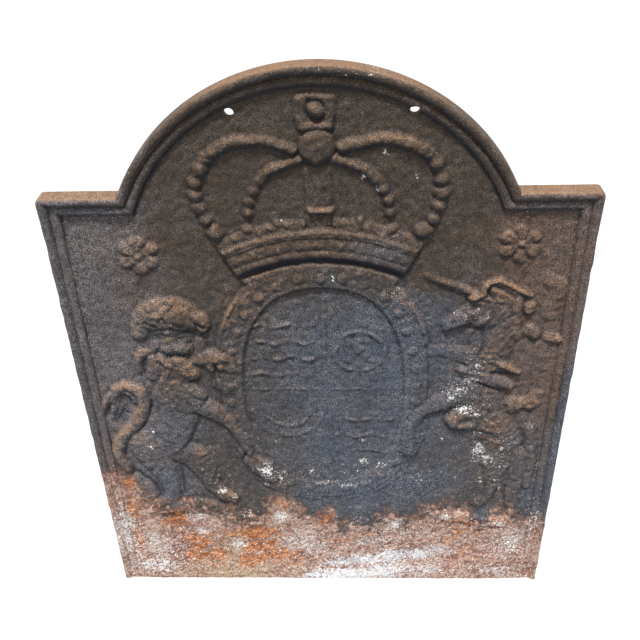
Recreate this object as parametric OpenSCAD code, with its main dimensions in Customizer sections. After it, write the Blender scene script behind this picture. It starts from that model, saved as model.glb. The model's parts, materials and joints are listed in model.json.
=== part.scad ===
// Arched cast-iron fireback: a flat plate with a moulded edge along its top and sides,
// and in relief a crown over a belted oval of arms, a lion on the left and a unicorn on the right.
// Millimetres. X runs to the right, Y from the front to the back, Z up.
// The origin is at the middle of the standing edge, half way through the whole depth.
// Every raised piece stands on the field, which is the flat front of the plate.

/* [Plate] */
// Width over the edges
plate_w = 600; // [590:1:640]
// Height of the square shoulders
shoulder_h = 610; // [604:1:630]
// Radius of the arched top
arch_r = 234; // [228:1:244]
// Distance of the arch's centre below the shoulders
arch_drop = 98; // [90:1:104]
// Thickness of the plate behind the field
plate_t = 14; // [8:0.5:24]
// Rounding of the two upper corners
corner_r = 6; // [2:0.5:10]
// Diameter of the two hanging holes
hole_d = 11; // [6:0.5:13]
// Distance between the hanging holes
hole_spacing = 186; // [170:1:190]
// Distance of the holes' middle from the plate's middle
hole_x = 7; // [0:1:8]
// Distance of the right hole's centre from the edge of the arch
hole_inset = 23.5; // [22:0.5:40]

/* [Edge moulding] */
// Width of the outer roll
roll_w = 14; // [9:0.5:15]
// Height of the outer roll above the field
roll_rise = 10; // [5:0.5:14]
// Width of the groove between the roll and the bead
groove_w = 1.5; // [0.5:0.1:2.5]
// Width of the inner bead
bead_w = 7; // [4:0.5:8]
// Height of the inner bead above the field
bead_rise = 3; // [2:0.5:3.5]

/* [Crown] */
// Distance of the crown's and the oval's middle from the plate's middle
arms_x = 1; // [0:0.5:3]
// Gap between the cross and the edge moulding
crown_gap = 7; // [3:0.5:12]
// Radius of the crown's lower edge
circlet_r = 208; // [200:1:216]
// Half of the angle that the circlet spans, in degrees
circlet_angle = 27; // [26:0.25:28]
// Width of each roll of the circlet
circlet_roll_w = 10; // [8:0.5:11]
// Width of the jewelled band between the rolls
circlet_band_w = 15; // [12:0.5:17]
// Height of the circlet's rolls above the field
circlet_rise = 9; // [5:0.5:12]
// Height of the jewelled band above the field
band_rise = 5; // [3:0.5:8]
// Width of the large jewels
jewel_d = 11; // [8:0.5:11.5]
// Height of the jewels above the band
jewel_rise = 2; // [1:0.25:4]
// Width of the knobs at the two ends of the circlet
knob_d = 20; // [16:0.5:22]
// Height of the knobs and fleurons above the field
knob_rise = 7; // [4:0.5:9]
// Height of the orb's middle above the crown's lower edge
orb_h = 131; // [122:0.5:138]
// Width of the orb
orb_d = 38; // [34:0.5:39]
// Height of the orb above the field
orb_rise = 8; // [4:0.5:12]
// Width of a pearl of the outer arches
pearl_d = 13; // [9:0.5:14]
// Height of the outer arches' pearls above the field
pearl_rise = 6; // [3:0.5:6.5]
// Width of a pearl of the inner arches
small_pearl_d = 10; // [7:0.5:11]
// Height of the inner arches' pearls above the field
small_pearl_rise = 4.5; // [2:0.5:5]
// Width of the arch that is seen from the front
centre_arch_w = 26; // [20:0.5:30]
// Height of that arch above the field
centre_arch_rise = 2.5; // [1:0.25:4]
// Width and height of the cross on the orb
cross_d = 40; // [34:1:42]
// Height of the cross above the field
cross_rise = 5; // [3:0.5:8]
// Width of the ball in the cross
cross_ball_d = 14; // [10:0.5:15]

/* [Garter] */
// Gap between the crown and the fillet below it
garter_gap = 4; // [1:0.5:8]
// Half of the oval's inner width
oval_w = 99; // [92:1:103]
// Half of the oval's inner height
oval_h = 152; // [146:1:154]
// Squareness of the oval: 2 is an ellipse, and more is squarer
oval_power = 2.4; // [2:0.1:2.8]
// Width of the strap
strap_w = 28; // [20:0.5:29]
// Height of the strap above the field
strap_rise = 4; // [2:0.5:7]
// Width of the fillet round the strap
fillet_w = 5; // [3:0.5:6]
// Height of the fillet above the field
fillet_rise = 5.5; // [3:0.5:8]
// Number of studs that go right round the strap
stud_count = 34; // [24:2:44]
// Width of a stud
stud_d = 11; // [7:0.5:13]
// Height of a stud above the strap
stud_rise = 2; // [1:0.25:4]
// Width of the lines that quarter the arms
quarter_line_w = 3; // [1.5:0.25:6]
// Width of the wavy bars in the quarters
wave_w = 6; // [3:0.5:9]
// Height of the arms above the field
arms_rise = 2.5; // [1:0.25:4]

/* [Supporters] */
// Gap between each animal and the edge moulding at its side
supporter_gap = 2.5; // [1:0.5:6]
// Height of the lion
lion_h = 354; // [330:1:370]
// Height from the lion's hind feet up to the oval's centre
lion_drop = 212; // [200:1:220]
// Height of the unicorn
unicorn_h = 390; // [365:1:400]
// Height from the unicorn's hind feet up to the oval's centre
unicorn_drop = 232; // [220:1:238]
// Height of the two animals' highest points above the field
relief_rise = 10; // [5:0.5:14]

/* [Rosettes] */
// Distance of the left rosette from the plate's side
left_rosette_inset = 100; // [85:1:115]
// Distance of the right rosette from the plate's side
right_rosette_inset = 81; // [70:1:100]
// Width of a rosette
rosette_d = 50; // [40:1:56]
// Number of petals
petal_count = 6; // [5:1:8]
// Width of a petal
petal_d = 18; // [14:0.5:20]
// Width of the boss in the middle of a rosette
boss_d = 13; // [9:0.5:15]
// Height of the petals above the field
petal_rise = 4; // [2:0.25:7]

/* [Hidden] */
$fn = 48;

// The highest relief sets how far the part reaches in front of the field
front_rise = max([roll_rise, circlet_rise, band_rise + jewel_rise, knob_rise, orb_rise, relief_rise,
    strap_rise + stud_rise, fillet_rise, petal_rise]);
back_y = (plate_t + front_rise) / 2;
field_y = back_y - plate_t;
bead_inset = roll_w + groove_w;
moulding_w = bead_inset + bead_w;
far = 2 * plate_w;

// Everything hangs from the arch: the crown under its moulding, the oval under the crown,
// and the animals beside the oval, with each rosette half way between an animal and the shoulder
arch_z = shoulder_h - arch_drop;
arch_top = arch_z + arch_r;
hole_z = arch_z + sqrt(pow(arch_r - hole_inset, 2) - pow(hole_x + hole_spacing / 2, 2));
cross_h = 0.86 * cross_d;
cross_foot = orb_d / 2 + 1;
crown_z = arch_top - moulding_w - crown_gap - cross_h - cross_foot - orb_h;
strap_out = strap_w + fillet_w;
oval_z = crown_z - garter_gap - strap_out - oval_h;

iron = [0.27, 0.24, 0.21];
edge_iron = [0.36, 0.29, 0.22];
blue_iron = [0.25, 0.26, 0.28];
rust_iron = [0.48, 0.31, 0.22];

// ---- Helpers: relief is drawn in X and Y, rises along Z, and is then stood up on the field ----

module on_field() translate([0, field_y, 0]) rotate([90, 0, 0]) children();

// A smooth curve through the points p, with n steps from each point to the next
function curve_at(a, b, c, d, t) =
    b + t * ((c - a) + t * ((2 * a - 5 * b + 4 * c - d) + t * (3 * b - a - 3 * c + d))) / 2;
function curve(p, n) = [
    for (i = [0 : len(p) - 2], k = [0 : n - 1])
        curve_at(p[max(i - 1, 0)], p[i], p[i + 1], p[min(i + 2, len(p) - 1)], k / n),
    p[len(p) - 1]
];

// Radius of the circle whose cap is w wide and rise high
function cap_r(w, rise) = (w * w / 4 + rise * rise) / (2 * rise);

// Round-topped profile, w wide and rise high, that starts at the origin
module round_profile(w, rise) intersection() {
    translate([w / 2, rise - cap_r(w, rise)]) circle(cap_r(w, rise));
    square([w, rise]);
}

// Caps of balls, d wide at the field and rise high, at a list of places
module caps(places, d, rise) intersection() {
    union() for (p = places) translate([p[0], p[1], rise - cap_r(d, rise)]) sphere(cap_r(d, rise));
    translate([-far, -far, 0]) cube([2 * far, 2 * far, rise + 1]);
}

// Half dome with a flat underside, one unit in radius and one unit high
module dome(steps = 12) rotate_extrude($fn = steps) polygon([[0, 0], [1, 0], [0.86, 0.5], [0.5, 0.87], [0, 1]]);

// A carved limb is a chain of domes. A row is x, y, half width, and height in tenths of the highest relief
module limb_dome(row) translate([row[0], row[1], 0]) scale([row[2], row[2], row[3] / 10 * relief_rise]) dome();
module limbs(list) for (rows = list, i = [0 : max(len(rows) - 2, 0)]) hull() {
    limb_dome(rows[i]);
    limb_dome(rows[min(i + 1, len(rows) - 1)]);
}

// ---- Plate ----

module outline() {
    translate([-plate_w / 2, 0]) square([plate_w, shoulder_h - corner_r]);
    translate([-plate_w / 2 + corner_r, 0]) square([plate_w - 2 * corner_r, shoulder_h]);
    for (side = [-1, 1]) translate([side * (plate_w / 2 - corner_r), shoulder_h - corner_r]) circle(corner_r);
    translate([0, arch_z]) circle(arch_r);
}

module hanging_holes() for (side = [-1, 1])
    translate([hole_x + side * hole_spacing / 2, hole_z, -2 * plate_t]) cylinder(d = hole_d, h = 4 * plate_t);

module back_plate() color(iron) on_field() difference() {
    translate([0, 0, -plate_t]) linear_extrude(plate_t) outline();
    hanging_holes();
}

// ---- Edge moulding: strips that lie between d and d + w inside the edge, meeting at mitres ----

function foot(d) = [sqrt(pow(arch_r - d, 2) - pow(shoulder_h - d - arch_z, 2)), shoulder_h - d];
function corner(d) = [plate_w / 2 - d, shoulder_h - d];

module side_strip(d, w, rise) intersection() {
    translate([corner(d + w)[0], shoulder_h, 0]) rotate([90, 0, 0]) linear_extrude(shoulder_h) round_profile(w, rise);
    linear_extrude(rise) intersection() {
        polygon([corner(d), corner(d + w), [corner(d + w)[0], 0], [corner(d)[0], 0]]);
        outline();
    }
}

module shoulder_strip(d, w, rise) intersection() {
    translate([0, corner(d + w)[1], 0]) rotate([90, 0, 90]) linear_extrude(plate_w / 2) round_profile(w, rise);
    linear_extrude(rise) intersection() {
        polygon([foot(d), corner(d), corner(d + w), foot(d + w)]);
        outline();
    }
}

module arch_strip(d, w, rise) {
    a = foot(d);
    b = foot(d + w);
    past = a + (a - b);
    intersection() {
        translate([0, arch_z, 0]) rotate_extrude() translate([arch_r - d - w, 0]) round_profile(w, rise);
        linear_extrude(rise) polygon([b, past, [far, far], [-far, far], [-past[0], past[1]], [-b[0], b[1]]]);
    }
}

module right_roll() color(iron) on_field() side_strip(0, roll_w, roll_rise);
module left_roll() mirror([1, 0, 0]) right_roll();
module right_shoulder_roll() color(edge_iron) on_field() shoulder_strip(0, roll_w, roll_rise);
module left_shoulder_roll() mirror([1, 0, 0]) right_shoulder_roll();
module arch_roll() color(edge_iron) on_field() arch_strip(0, roll_w, roll_rise);

module right_bead() color(iron) on_field() side_strip(bead_inset, bead_w, bead_rise);
module left_bead() mirror([1, 0, 0]) right_bead();
module right_shoulder_bead() color(iron) on_field() shoulder_strip(bead_inset, bead_w, bead_rise);
module left_shoulder_bead() mirror([1, 0, 0]) right_shoulder_bead();
module arch_bead() color(iron) on_field() difference() {
    arch_strip(bead_inset, bead_w, bead_rise);
    hanging_holes();
}

// ---- Crown: its circlet is a sector of rings round one centre, far below the crown's lower edge ----

circlet_top = circlet_r + 2 * circlet_roll_w + circlet_band_w;
crown_centre = [arms_x, crown_z - circlet_r];
function crown_place(angle, r) = crown_centre + r * [sin(angle), cos(angle)];
function mirrored(list) = [for (p = list) [2 * arms_x - p[0], p[1]]];

// A sector of a ring, with the profile in children() standing r outside the centre
module circlet_ring(r) translate(crown_centre) rotate(90 - circlet_angle)
    rotate_extrude(angle = 2 * circlet_angle) translate([r, 0]) children();

module circlet_lower_roll() color(edge_iron) on_field()
    circlet_ring(circlet_r) round_profile(circlet_roll_w, circlet_rise);

module circlet_band() color(iron) on_field()
    circlet_ring(circlet_r + circlet_roll_w) square([circlet_band_w, band_rise]);

module circlet_upper_roll() color(edge_iron) on_field()
    circlet_ring(circlet_top - circlet_roll_w) round_profile(circlet_roll_w, circlet_rise);

jewel_angle = 6;
band_middle = circlet_r + circlet_roll_w + circlet_band_w / 2;
large_jewels = [for (a = [-4 : 2 : 4]) crown_place(a * jewel_angle, band_middle)];
small_jewels = [for (a = [-3 : 2 : 3]) crown_place(a * jewel_angle, band_middle)];
module circlet_jewels() color(iron) on_field() translate([0, 0, band_rise]) {
    caps(large_jewels, jewel_d, jewel_rise);
    caps(small_jewels, jewel_d / 2, jewel_rise);
}

// Knobs carry the feet of the arches, and three-lobed fleurons stand between them
knob_angle = 25;
small_knob_angle = 17.5;
fleuron_angle = 10;
small_knob_d = 0.65 * knob_d;
fleuron_d = 0.45 * knob_d;
knobs = [for (side = [-1, 1]) crown_place(side * knob_angle, circlet_top + knob_d * 1.2)];
small_knobs = [for (side = [-1, 1]) crown_place(side * small_knob_angle, circlet_top + small_knob_d)];
fleuron_lobes = [for (side = [-1, 1], lobe = [-1, 0, 1])
    crown_place(side * fleuron_angle + lobe * 1.8, circlet_top + fleuron_d * (lobe == 0 ? 1.5 : 0.8))];
module crown_fleurons() color(edge_iron) on_field() {
    caps(knobs, knob_d, knob_rise);
    caps(small_knobs, small_knob_d, knob_rise * 0.8);
    caps(fleuron_lobes, fleuron_d, knob_rise * 0.6);
}

// The arches run from the knobs to the orb: separate pearls low down, and close ones higher up.
// Their places are drawn for an orb 131 above the crown's lower edge, and grow with that height
arch_s = orb_h / 131;
function places(from, list) = [for (p = list) from + arch_s * p];
orb_at = [arms_x, crown_z + orb_h];
outer_pearls = places(knobs[0], [[-9, 14], [-15, 29], [-17, 44.5], [-15, 60], [-9, 74.5]]);
outer_top = curve(concat(places(knobs[0], [[1, 88], [13, 98], [29, 103], [49, 104]]),
    places(orb_at, [[-43, 6], [-25, -1]])), 3);
inner_pearls = places(small_knobs[0], [[3, 20], [5, 33], [8, 46]]);
inner_top = curve(concat(places(small_knobs[0], [[14, 58], [26, 68]]), places(orb_at, [[-36, -18], [-20, -13]])), 3);

module crown_left_outer_arch() color(edge_iron) on_field() caps(concat(outer_pearls, outer_top), pearl_d, pearl_rise);
module crown_right_outer_arch() color(edge_iron) on_field()
    caps(mirrored(concat(outer_pearls, outer_top)), pearl_d, pearl_rise);
module crown_left_inner_arch() color(iron) on_field()
    caps(concat(inner_pearls, inner_top), small_pearl_d, small_pearl_rise);
module crown_right_inner_arch() color(iron) on_field()
    caps(mirrored(concat(inner_pearls, inner_top)), small_pearl_d, small_pearl_rise);

// The front arch is a flat strip, with a raised bar across it above a small box
bar_z = crown_z + 59 * arch_s;
bar_h = 6;
orb_tip_h = orb_d * 0.56;
module centre_arch_block(z0, z1, w, rise) translate([arms_x - w / 2, z0, 0]) cube([w, z1 - z0, rise]);
module crown_centre_arch() color(iron) on_field() {
    centre_arch_block(crown_centre[1] + circlet_top, bar_z, centre_arch_w, centre_arch_rise);
    centre_arch_block(bar_z - bar_h / 2, bar_z + bar_h / 2, centre_arch_w, 2 * centre_arch_rise);
    centre_arch_block(bar_z, orb_at[1] - orb_tip_h, centre_arch_w, centre_arch_rise);
}

// The orb is a drop with its point down
module crown_orb() color(iron) on_field() translate(orb_at) hull() {
    scale([orb_d / 2, orb_d / 2, orb_rise]) dome(24);
    translate([0, -orb_tip_h + 3, 0]) scale([3, 3, orb_rise / 2]) dome();
}

// The cross has three broad arms round a ball, and a low one on top
arm = cross_d * 0.28;
module crown_cross() color(iron) on_field() translate(orb_at + [0, cross_foot]) {
    half = cross_d / 2;
    linear_extrude(cross_rise) polygon([
        [-half + 3, 0], [half - 3, 0], [half, 7], [half, cross_h], [half - arm - 1, cross_h],
        [half - arm, arm - 2], [-half + arm, arm - 2], [-half + arm + 1, cross_h],
        [-half, cross_h], [-half, 7]
    ]);
    linear_extrude(cross_rise / 2) polygon([
        [-3, arm + cross_ball_d], [3, arm + cross_ball_d], [6, cross_h], [-6, cross_h]
    ]);
}
module crown_cross_ball() color(edge_iron) on_field()
    caps([orb_at + [0, cross_foot + arm + cross_ball_d / 2 - 1]], cross_ball_d, cross_rise + 1);

// ---- Garter: a strap and its fillet round an oval, each in a left and a right half ----

oval_at = [arms_x, oval_z];
function power_of(x, p) = sign(x) * pow(abs(x), p);
function oval_points(grow) = [for (t = [0 : 3.75 : 359])
    [(oval_w + grow) * power_of(cos(t), 2 / oval_power), (oval_h + grow) * power_of(sin(t), 2 / oval_power)]];
module oval_ring(from, to) translate(oval_at) difference() {
    polygon(oval_points(to));
    polygon(oval_points(from));
}
module half_plane(side) translate([side > 0 ? arms_x : arms_x - far, -far]) square([far, 2 * far]);
module half_ring(side, from, to, rise) linear_extrude(rise) intersection() {
    oval_ring(from, to);
    half_plane(side);
}
// What the supporters' paws and hooves lie on, with a small gap left round the studs
stud_gap = 0.1;
module garter_block() {
    linear_extrude(strap_rise) oval_ring(0, strap_w);
    linear_extrude(fillet_rise) oval_ring(strap_w, strap_out);
    translate([0, 0, strap_rise]) caps(stud_places, stud_d + 2 * stud_gap, stud_rise + stud_gap);
}

module garter_left_strap() color(blue_iron) on_field() half_ring(-1, 0, strap_w, strap_rise);
module garter_right_strap() color(blue_iron) on_field() half_ring(1, 0, strap_w, strap_rise);
module garter_left_fillet() color(iron) on_field() half_ring(-1, strap_w, strap_out, fillet_rise);
module garter_right_fillet() color(iron) on_field() half_ring(1, strap_w, strap_out, fillet_rise);

// Studs lie evenly along the middle of the strap
function stud_at(i) = let (
    a = oval_w + strap_w / 2,
    b = oval_h + strap_w / 2,
    t = 360 * (i + 0.5) / stud_count,
    u = [sqrt(a) * cos(t), sqrt(b) * sin(t)],
    r = pow(pow(abs(u[0] / a), oval_power) + pow(abs(u[1] / b), oval_power), -1 / oval_power)
) oval_at + r * u;
stud_places = [for (i = [0 : stud_count - 1]) stud_at(i)];
module garter_studs() color(iron) on_field() translate([0, 0, strap_rise]) caps(stud_places, stud_d, stud_rise);

// ---- Arms: worn bars in four quarters, drawn for an oval 99 by 152 and growing with it ----

arms_s = [oval_w / 99, oval_h / 152];
function in_arms(p) = [p[0] * arms_s[0], p[1] * arms_s[1]];
module in_oval() intersection() {
    children();
    polygon(oval_points(-0.5));
}
quarter_at = in_arms([2, 6]);
module quarter_lines() {
    translate([quarter_at[0] - quarter_line_w / 2, -far / 2]) square([quarter_line_w, far]);
    translate([-far / 2, quarter_at[1] - quarter_line_w / 2]) square([far, quarter_line_w]);
}
module arms_quartering() color(blue_iron) on_field() translate(oval_at) linear_extrude(arms_rise * 0.7)
    in_oval() quarter_lines();

// A wavy bar: its middle line is a sine with whole waves
module wave(x0, x1, z, waves = 2, swing = 3) {
    top = [for (k = [0 : 24])
        in_arms([x0 + (x1 - x0) * k / 24, z + swing * sin(360 * waves * k / 24)]) + [0, wave_w / 2]];
    low = [for (k = [24 : -1 : 0]) top[k] - [0, wave_w]];
    polygon(concat(top, low));
}
module hoop(r) difference() {
    circle(r);
    circle(r - wave_w);
}
module charges() color(blue_iron) on_field() translate(oval_at) linear_extrude(arms_rise) difference() {
    in_oval() children();
    quarter_lines();
}
module arms_upper_charges() charges() {
    for (z = [28, 52, 76, 100]) wave(-84, -10, z);
    translate(in_arms([44, 62])) hoop(32 * arms_s[0]);
    polygon([for (p = [[30, 46], [44, 62], [30, 78], [44, 88], [58, 78], [50, 62], [62, 44], [44, 52]]) in_arms(p)]);
}
module arms_lower_charges() charges() {
    for (z = [-44, -70, -96]) wave(14, 84, z);
    for (r = [30, 46]) intersection() {
        translate(in_arms([-46, -28])) hoop(r * arms_s[0]);
        translate(in_arms([-46 - r, -28 - far])) square([far, far * arms_s[1]]);
    }
    translate(in_arms([-50, -74])) square([wave_w, 46 * arms_s[1]]);
}

// ---- Supporters: limbs drawn round a point between the hind feet, for one size of each animal,
// and then fitted in height to the animal's own size and in width to the room beside the strap ----

lion_drawn = [144, 354];
unicorn_drawn = [142, 390];
drawn_side = 85;
lion_top = 357;
unicorn_top = 397;
edge_x = plate_w / 2 - moulding_w - supporter_gap;
lion_s = [(edge_x - oval_w - strap_out + arms_x) / lion_drawn[0], lion_h / lion_drawn[1], 1];
unicorn_s = [(edge_x - oval_w - strap_out - arms_x) / unicorn_drawn[0], unicorn_h / unicorn_drawn[1], 1];
lion_at = [drawn_side * lion_s[0] - edge_x, oval_z - lion_drop];
unicorn_at = [edge_x - drawn_side * unicorn_s[0], oval_z - unicorn_drop];

// The limbs in list, less the limbs in front of them and the strap that they reach over
module carved(at, s, list, front = []) on_field() difference() {
    translate(at) scale(s) limbs(list);
    translate(at) scale(s) limbs(front);
    garter_block();
}
module lion(list, front = []) carved(lion_at, lion_s, list, front);
module unicorn(list, front = []) carved(unicorn_at, unicorn_s, list, front);

mane = [
    [[-22, 306, 10, 7], [-24, 322, 12, 8], [-13, 338, 13, 9], [4, 344, 13, 10], [22, 343, 13, 10],
        [38, 334, 12, 9], [47, 318, 10, 8], [48, 311, 8, 7]],
    [[-10, 320, 12, 9], [10, 325, 14, 10], [30, 322, 12, 9]],
    [[-21, 300, 8, 6]],
    [[-24, 285, 8, 5], [-26, 272, 9, 5], [-32, 258, 6, 4]],
    [[43, 292, 8, 5], [42, 277, 8, 5]]
];
face = [
    [[12, 300, 14, 8], [13, 284, 11, 9]],
    [[0, 290, 8, 6]],
    [[27, 288, 9, 6]],
    [[7, 279, 8, 8], [22, 279, 8, 8]]
];
chest_locks = [
    [[-13, 262, 8, 6], [-14, 245, 6, 6], [-8, 230, 3, 4]],
    [[0, 262, 8, 7], [-1, 242, 6, 6], [4, 222, 3, 4]],
    [[14, 260, 8, 7], [16, 242, 7, 7], [22, 220, 3, 4]],
    [[29, 262, 8, 6], [32, 246, 7, 6], [40, 232, 3, 4]],
    [[-6, 222, 7, 6], [0, 206, 4, 4]],
    [[12, 218, 7, 6], [18, 200, 3, 4]],
    [[30, 220, 7, 6], [40, 208, 3, 4]]
];
upper_foreleg = [
    [[25, 258, 14, 6], [45, 260, 14, 7], [68, 262, 14, 8]],
    [[58, 254, 6, 8]],
    [[71, 253, 6, 8]],
    [[82, 256, 6, 8]]
];
lower_foreleg = [
    [[30, 198, 16, 8], [52, 186, 14, 8], [70, 170, 11, 7], [80, 142, 9, 7], [84, 120, 10, 7]],
    [[77, 114, 5, 6]],
    [[93, 115, 5, 6]]
];
lion_trunk = [
    [[5, 245, 26, 6], [8, 215, 28, 8], [0, 180, 27, 9], [-15, 155, 25, 8]],
    [[25, 215, 18, 8]]
];
near_hind_leg = [
    [[-38, 132, 29, 9], [-32, 105, 26, 8], [-24, 80, 20, 8], [-20, 52, 15, 7]],
    [[-18, 46, 14, 7], [-30, 30, 12, 6], [-43, 18, 9, 5]]
];
far_hind_leg = [
    [[-2, 118, 20, 6], [20, 110, 22, 7], [32, 85, 18, 7], [38, 60, 15, 7], [50, 40, 14, 7], [66, 26, 12, 6]]
];
lion_tail_rows = [
    [[-66, 82, 6, 5], [-78, 110, 7, 6], [-72, 140, 8, 7], [-55, 165, 9, 7], [-40, 185, 9, 7],
        [-36, 205, 8, 7], [-44, 222, 8, 7], [-58, 224, 7, 6], [-68, 213, 6, 5]],
    [[-68, 200, 8, 6], [-75, 188, 7, 5], [-80, 178, 5, 4]],
    [[-54, 213, 4, 5], [-49, 204, 4, 4]]
];

module lion_mane() color(edge_iron) lion(mane);
module lion_face() color(edge_iron) lion(face, mane);
module lion_chest_locks() color(iron) lion(chest_locks, concat(mane, face));
module lion_upper_foreleg() color(edge_iron) lion(upper_foreleg, concat(mane, face, chest_locks));
module lion_lower_foreleg() color(blue_iron) lion(lower_foreleg, chest_locks);
module lion_body() color(blue_iron)
    lion(lion_trunk, concat(mane, face, chest_locks, upper_foreleg, lower_foreleg, near_hind_leg));
module lion_near_hind_leg() color(blue_iron) lion(near_hind_leg);
module lion_far_hind_leg() color(blue_iron) lion(far_hind_leg, concat(near_hind_leg, lion_trunk));
module lion_tail() color(edge_iron) lion(lion_tail_rows, concat(near_hind_leg, lion_trunk));

horn = [[[-16, 372, 7, 6], [-40, 381, 6, 5], [-68, 396, 3, 3]]];
head = [
    [[-2, 368, 16, 8], [-15, 352, 15, 8], [-32, 338, 11, 8], [-42, 331, 9, 7]],
    [[-5, 345, 14, 7]]
];
locks = [
    [[-6, 380, 6, 7], [0, 390, 4, 6]],
    [[5, 387, 6, 7], [20, 383, 7, 7], [38, 374, 6, 5]],
    [[48, 360, 7, 5], [47, 353, 9, 6]],
    [[58, 330, 7, 5], [58, 322, 10, 6]],
    [[74, 392, 11, 5], [80, 380, 6, 4]],
    [[72, 360, 9, 4], [66, 346, 7, 4]],
    [[74, 308, 10, 5], [79, 298, 6, 4]]
];
neck = [[[15, 368, 18, 7], [22, 342, 24, 7], [15, 312, 28, 7], [5, 287, 28, 7]]];
unicorn_trunk = [
    [[0, 275, 30, 8], [2, 240, 30, 9], [10, 205, 28, 9], [25, 175, 28, 8], [38, 145, 26, 8]],
    [[5, 278, 7, 9], [25, 274, 8, 10], [44, 264, 5, 8]],
    [[-15, 262, 8, 9], [10, 254, 9, 10], [32, 246, 7, 9]]
];
raised_foreleg = [[[-18, 285, 12, 6], [-40, 292, 10, 5], [-62, 292, 8, 5], [-76, 286, 7, 5]]];
long_foreleg = [[[-20, 230, 16, 8], [-45, 218, 13, 8], [-65, 204, 10, 9], [-77, 180, 9, 9], [-80, 152, 9, 9],
    [-80, 135, 10, 9]]];
bent_foreleg = [[[-12, 205, 12, 8], [-30, 190, 9, 8], [-24, 177, 8, 7], [-6, 174, 7, 6]]];
unicorn_near_leg = [[[35, 125, 24, 8], [32, 95, 14, 7], [32, 70, 10, 6], [25, 50, 8, 6], [14, 40, 9, 6]]];
unicorn_far_leg = [[[58, 125, 18, 7], [65, 95, 13, 6], [60, 65, 11, 6], [60, 40, 10, 5], [65, 20, 10, 5]]];
unicorn_tail_rows = [[[70, 178, 7, 4], [76, 140, 8, 5], [75, 105, 8, 5], [77, 72, 7, 4]]];

module unicorn_horn() color(edge_iron) unicorn(horn, locks);
module unicorn_head() color(iron) unicorn(head, concat(horn, locks));
module unicorn_mane() color(edge_iron) unicorn(locks);
module unicorn_neck() color(iron) unicorn(neck, concat(head, horn, locks));
module unicorn_raised_foreleg() color(blue_iron) unicorn(raised_foreleg, concat(neck, head));
module unicorn_long_foreleg() color(blue_iron) unicorn(long_foreleg, raised_foreleg);
module unicorn_bent_foreleg() color(blue_iron) unicorn(bent_foreleg, long_foreleg);
module unicorn_body() color(iron)
    unicorn(unicorn_trunk, concat(neck, head, locks, raised_foreleg, long_foreleg, bent_foreleg));
module unicorn_near_hind_leg() color(iron) unicorn(unicorn_near_leg, unicorn_trunk);
module unicorn_far_hind_leg() color(iron) unicorn(unicorn_far_leg, concat(unicorn_near_leg, unicorn_trunk));
module unicorn_tail() color(iron) unicorn(unicorn_tail_rows, concat(unicorn_far_leg, unicorn_trunk));

// The loose end of the strap lies on it below the lion's paw
strap_end = [[[-97, -114, 13, 7], [-87, -124, 14, 8], [-73, -142, 11, 7]]];
module garter_strap_end() color(iron) difference() {
    carved(oval_at, [arms_s[0], arms_s[1], 1], strap_end);
    lion(lower_foreleg);
}

// The ground under each animal's feet
lion_ground = [[[-46, 2, 8, 4], [-18, 12, 12, 6], [10, 12, 13, 6], [40, 4, 12, 6], [70, -12, 9, 5], [98, -18, 7, 4]]];
unicorn_ground = [[[-40, 18, 8, 4], [-10, 12, 10, 5], [25, 4, 9, 5], [55, 0, 8, 4]]];
module left_ground() color(rust_iron) lion(lion_ground, concat(near_hind_leg, far_hind_leg));
module right_ground() color(rust_iron) unicorn(unicorn_ground, concat(unicorn_near_leg, unicorn_far_leg));

// ---- Rosettes: a ring of petals round a boss ----

left_rosette_z = (lion_at[1] + lion_top * lion_s[1] + shoulder_h - moulding_w) / 2;
right_rosette_z = (unicorn_at[1] + unicorn_top * unicorn_s[1] + shoulder_h - moulding_w) / 2;

module rosette(at) color(iron) on_field() {
    ring_r = (rosette_d - petal_d) / 2;
    caps([for (i = [0 : petal_count - 1]) at + ring_r * [sin(360 * i / petal_count), cos(360 * i / petal_count)]],
        petal_d, petal_rise);
    caps([at], boss_d, petal_rise);
}
module left_rosette() rosette([left_rosette_inset - plate_w / 2, left_rosette_z]);
module right_rosette() rosette([plate_w / 2 - right_rosette_inset, right_rosette_z]);

back_plate();
left_roll();
right_roll();
left_shoulder_roll();
right_shoulder_roll();
arch_roll();
left_bead();
right_bead();
left_shoulder_bead();
right_shoulder_bead();
arch_bead();
circlet_lower_roll();
circlet_band();
circlet_upper_roll();
circlet_jewels();
crown_fleurons();
crown_left_outer_arch();
crown_right_outer_arch();
crown_left_inner_arch();
crown_right_inner_arch();
crown_centre_arch();
crown_orb();
crown_cross();
crown_cross_ball();
garter_left_strap();
garter_right_strap();
garter_left_fillet();
garter_right_fillet();
garter_studs();
garter_strap_end();
arms_quartering();
arms_upper_charges();
arms_lower_charges();
lion_mane();
lion_face();
lion_chest_locks();
lion_body();
lion_upper_foreleg();
lion_lower_foreleg();
lion_near_hind_leg();
lion_far_hind_leg();
lion_tail();
unicorn_horn();
unicorn_head();
unicorn_mane();
unicorn_neck();
unicorn_body();
unicorn_raised_foreleg();
unicorn_long_foreleg();
unicorn_bent_foreleg();
unicorn_near_hind_leg();
unicorn_far_hind_leg();
unicorn_tail();
left_ground();
right_ground();
left_rosette();
right_rosette();
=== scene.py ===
import json
import math

import bpy
import numpy as np
from mathutils import Matrix, Vector
from mathutils.geometry import tessellate_polygon


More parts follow.
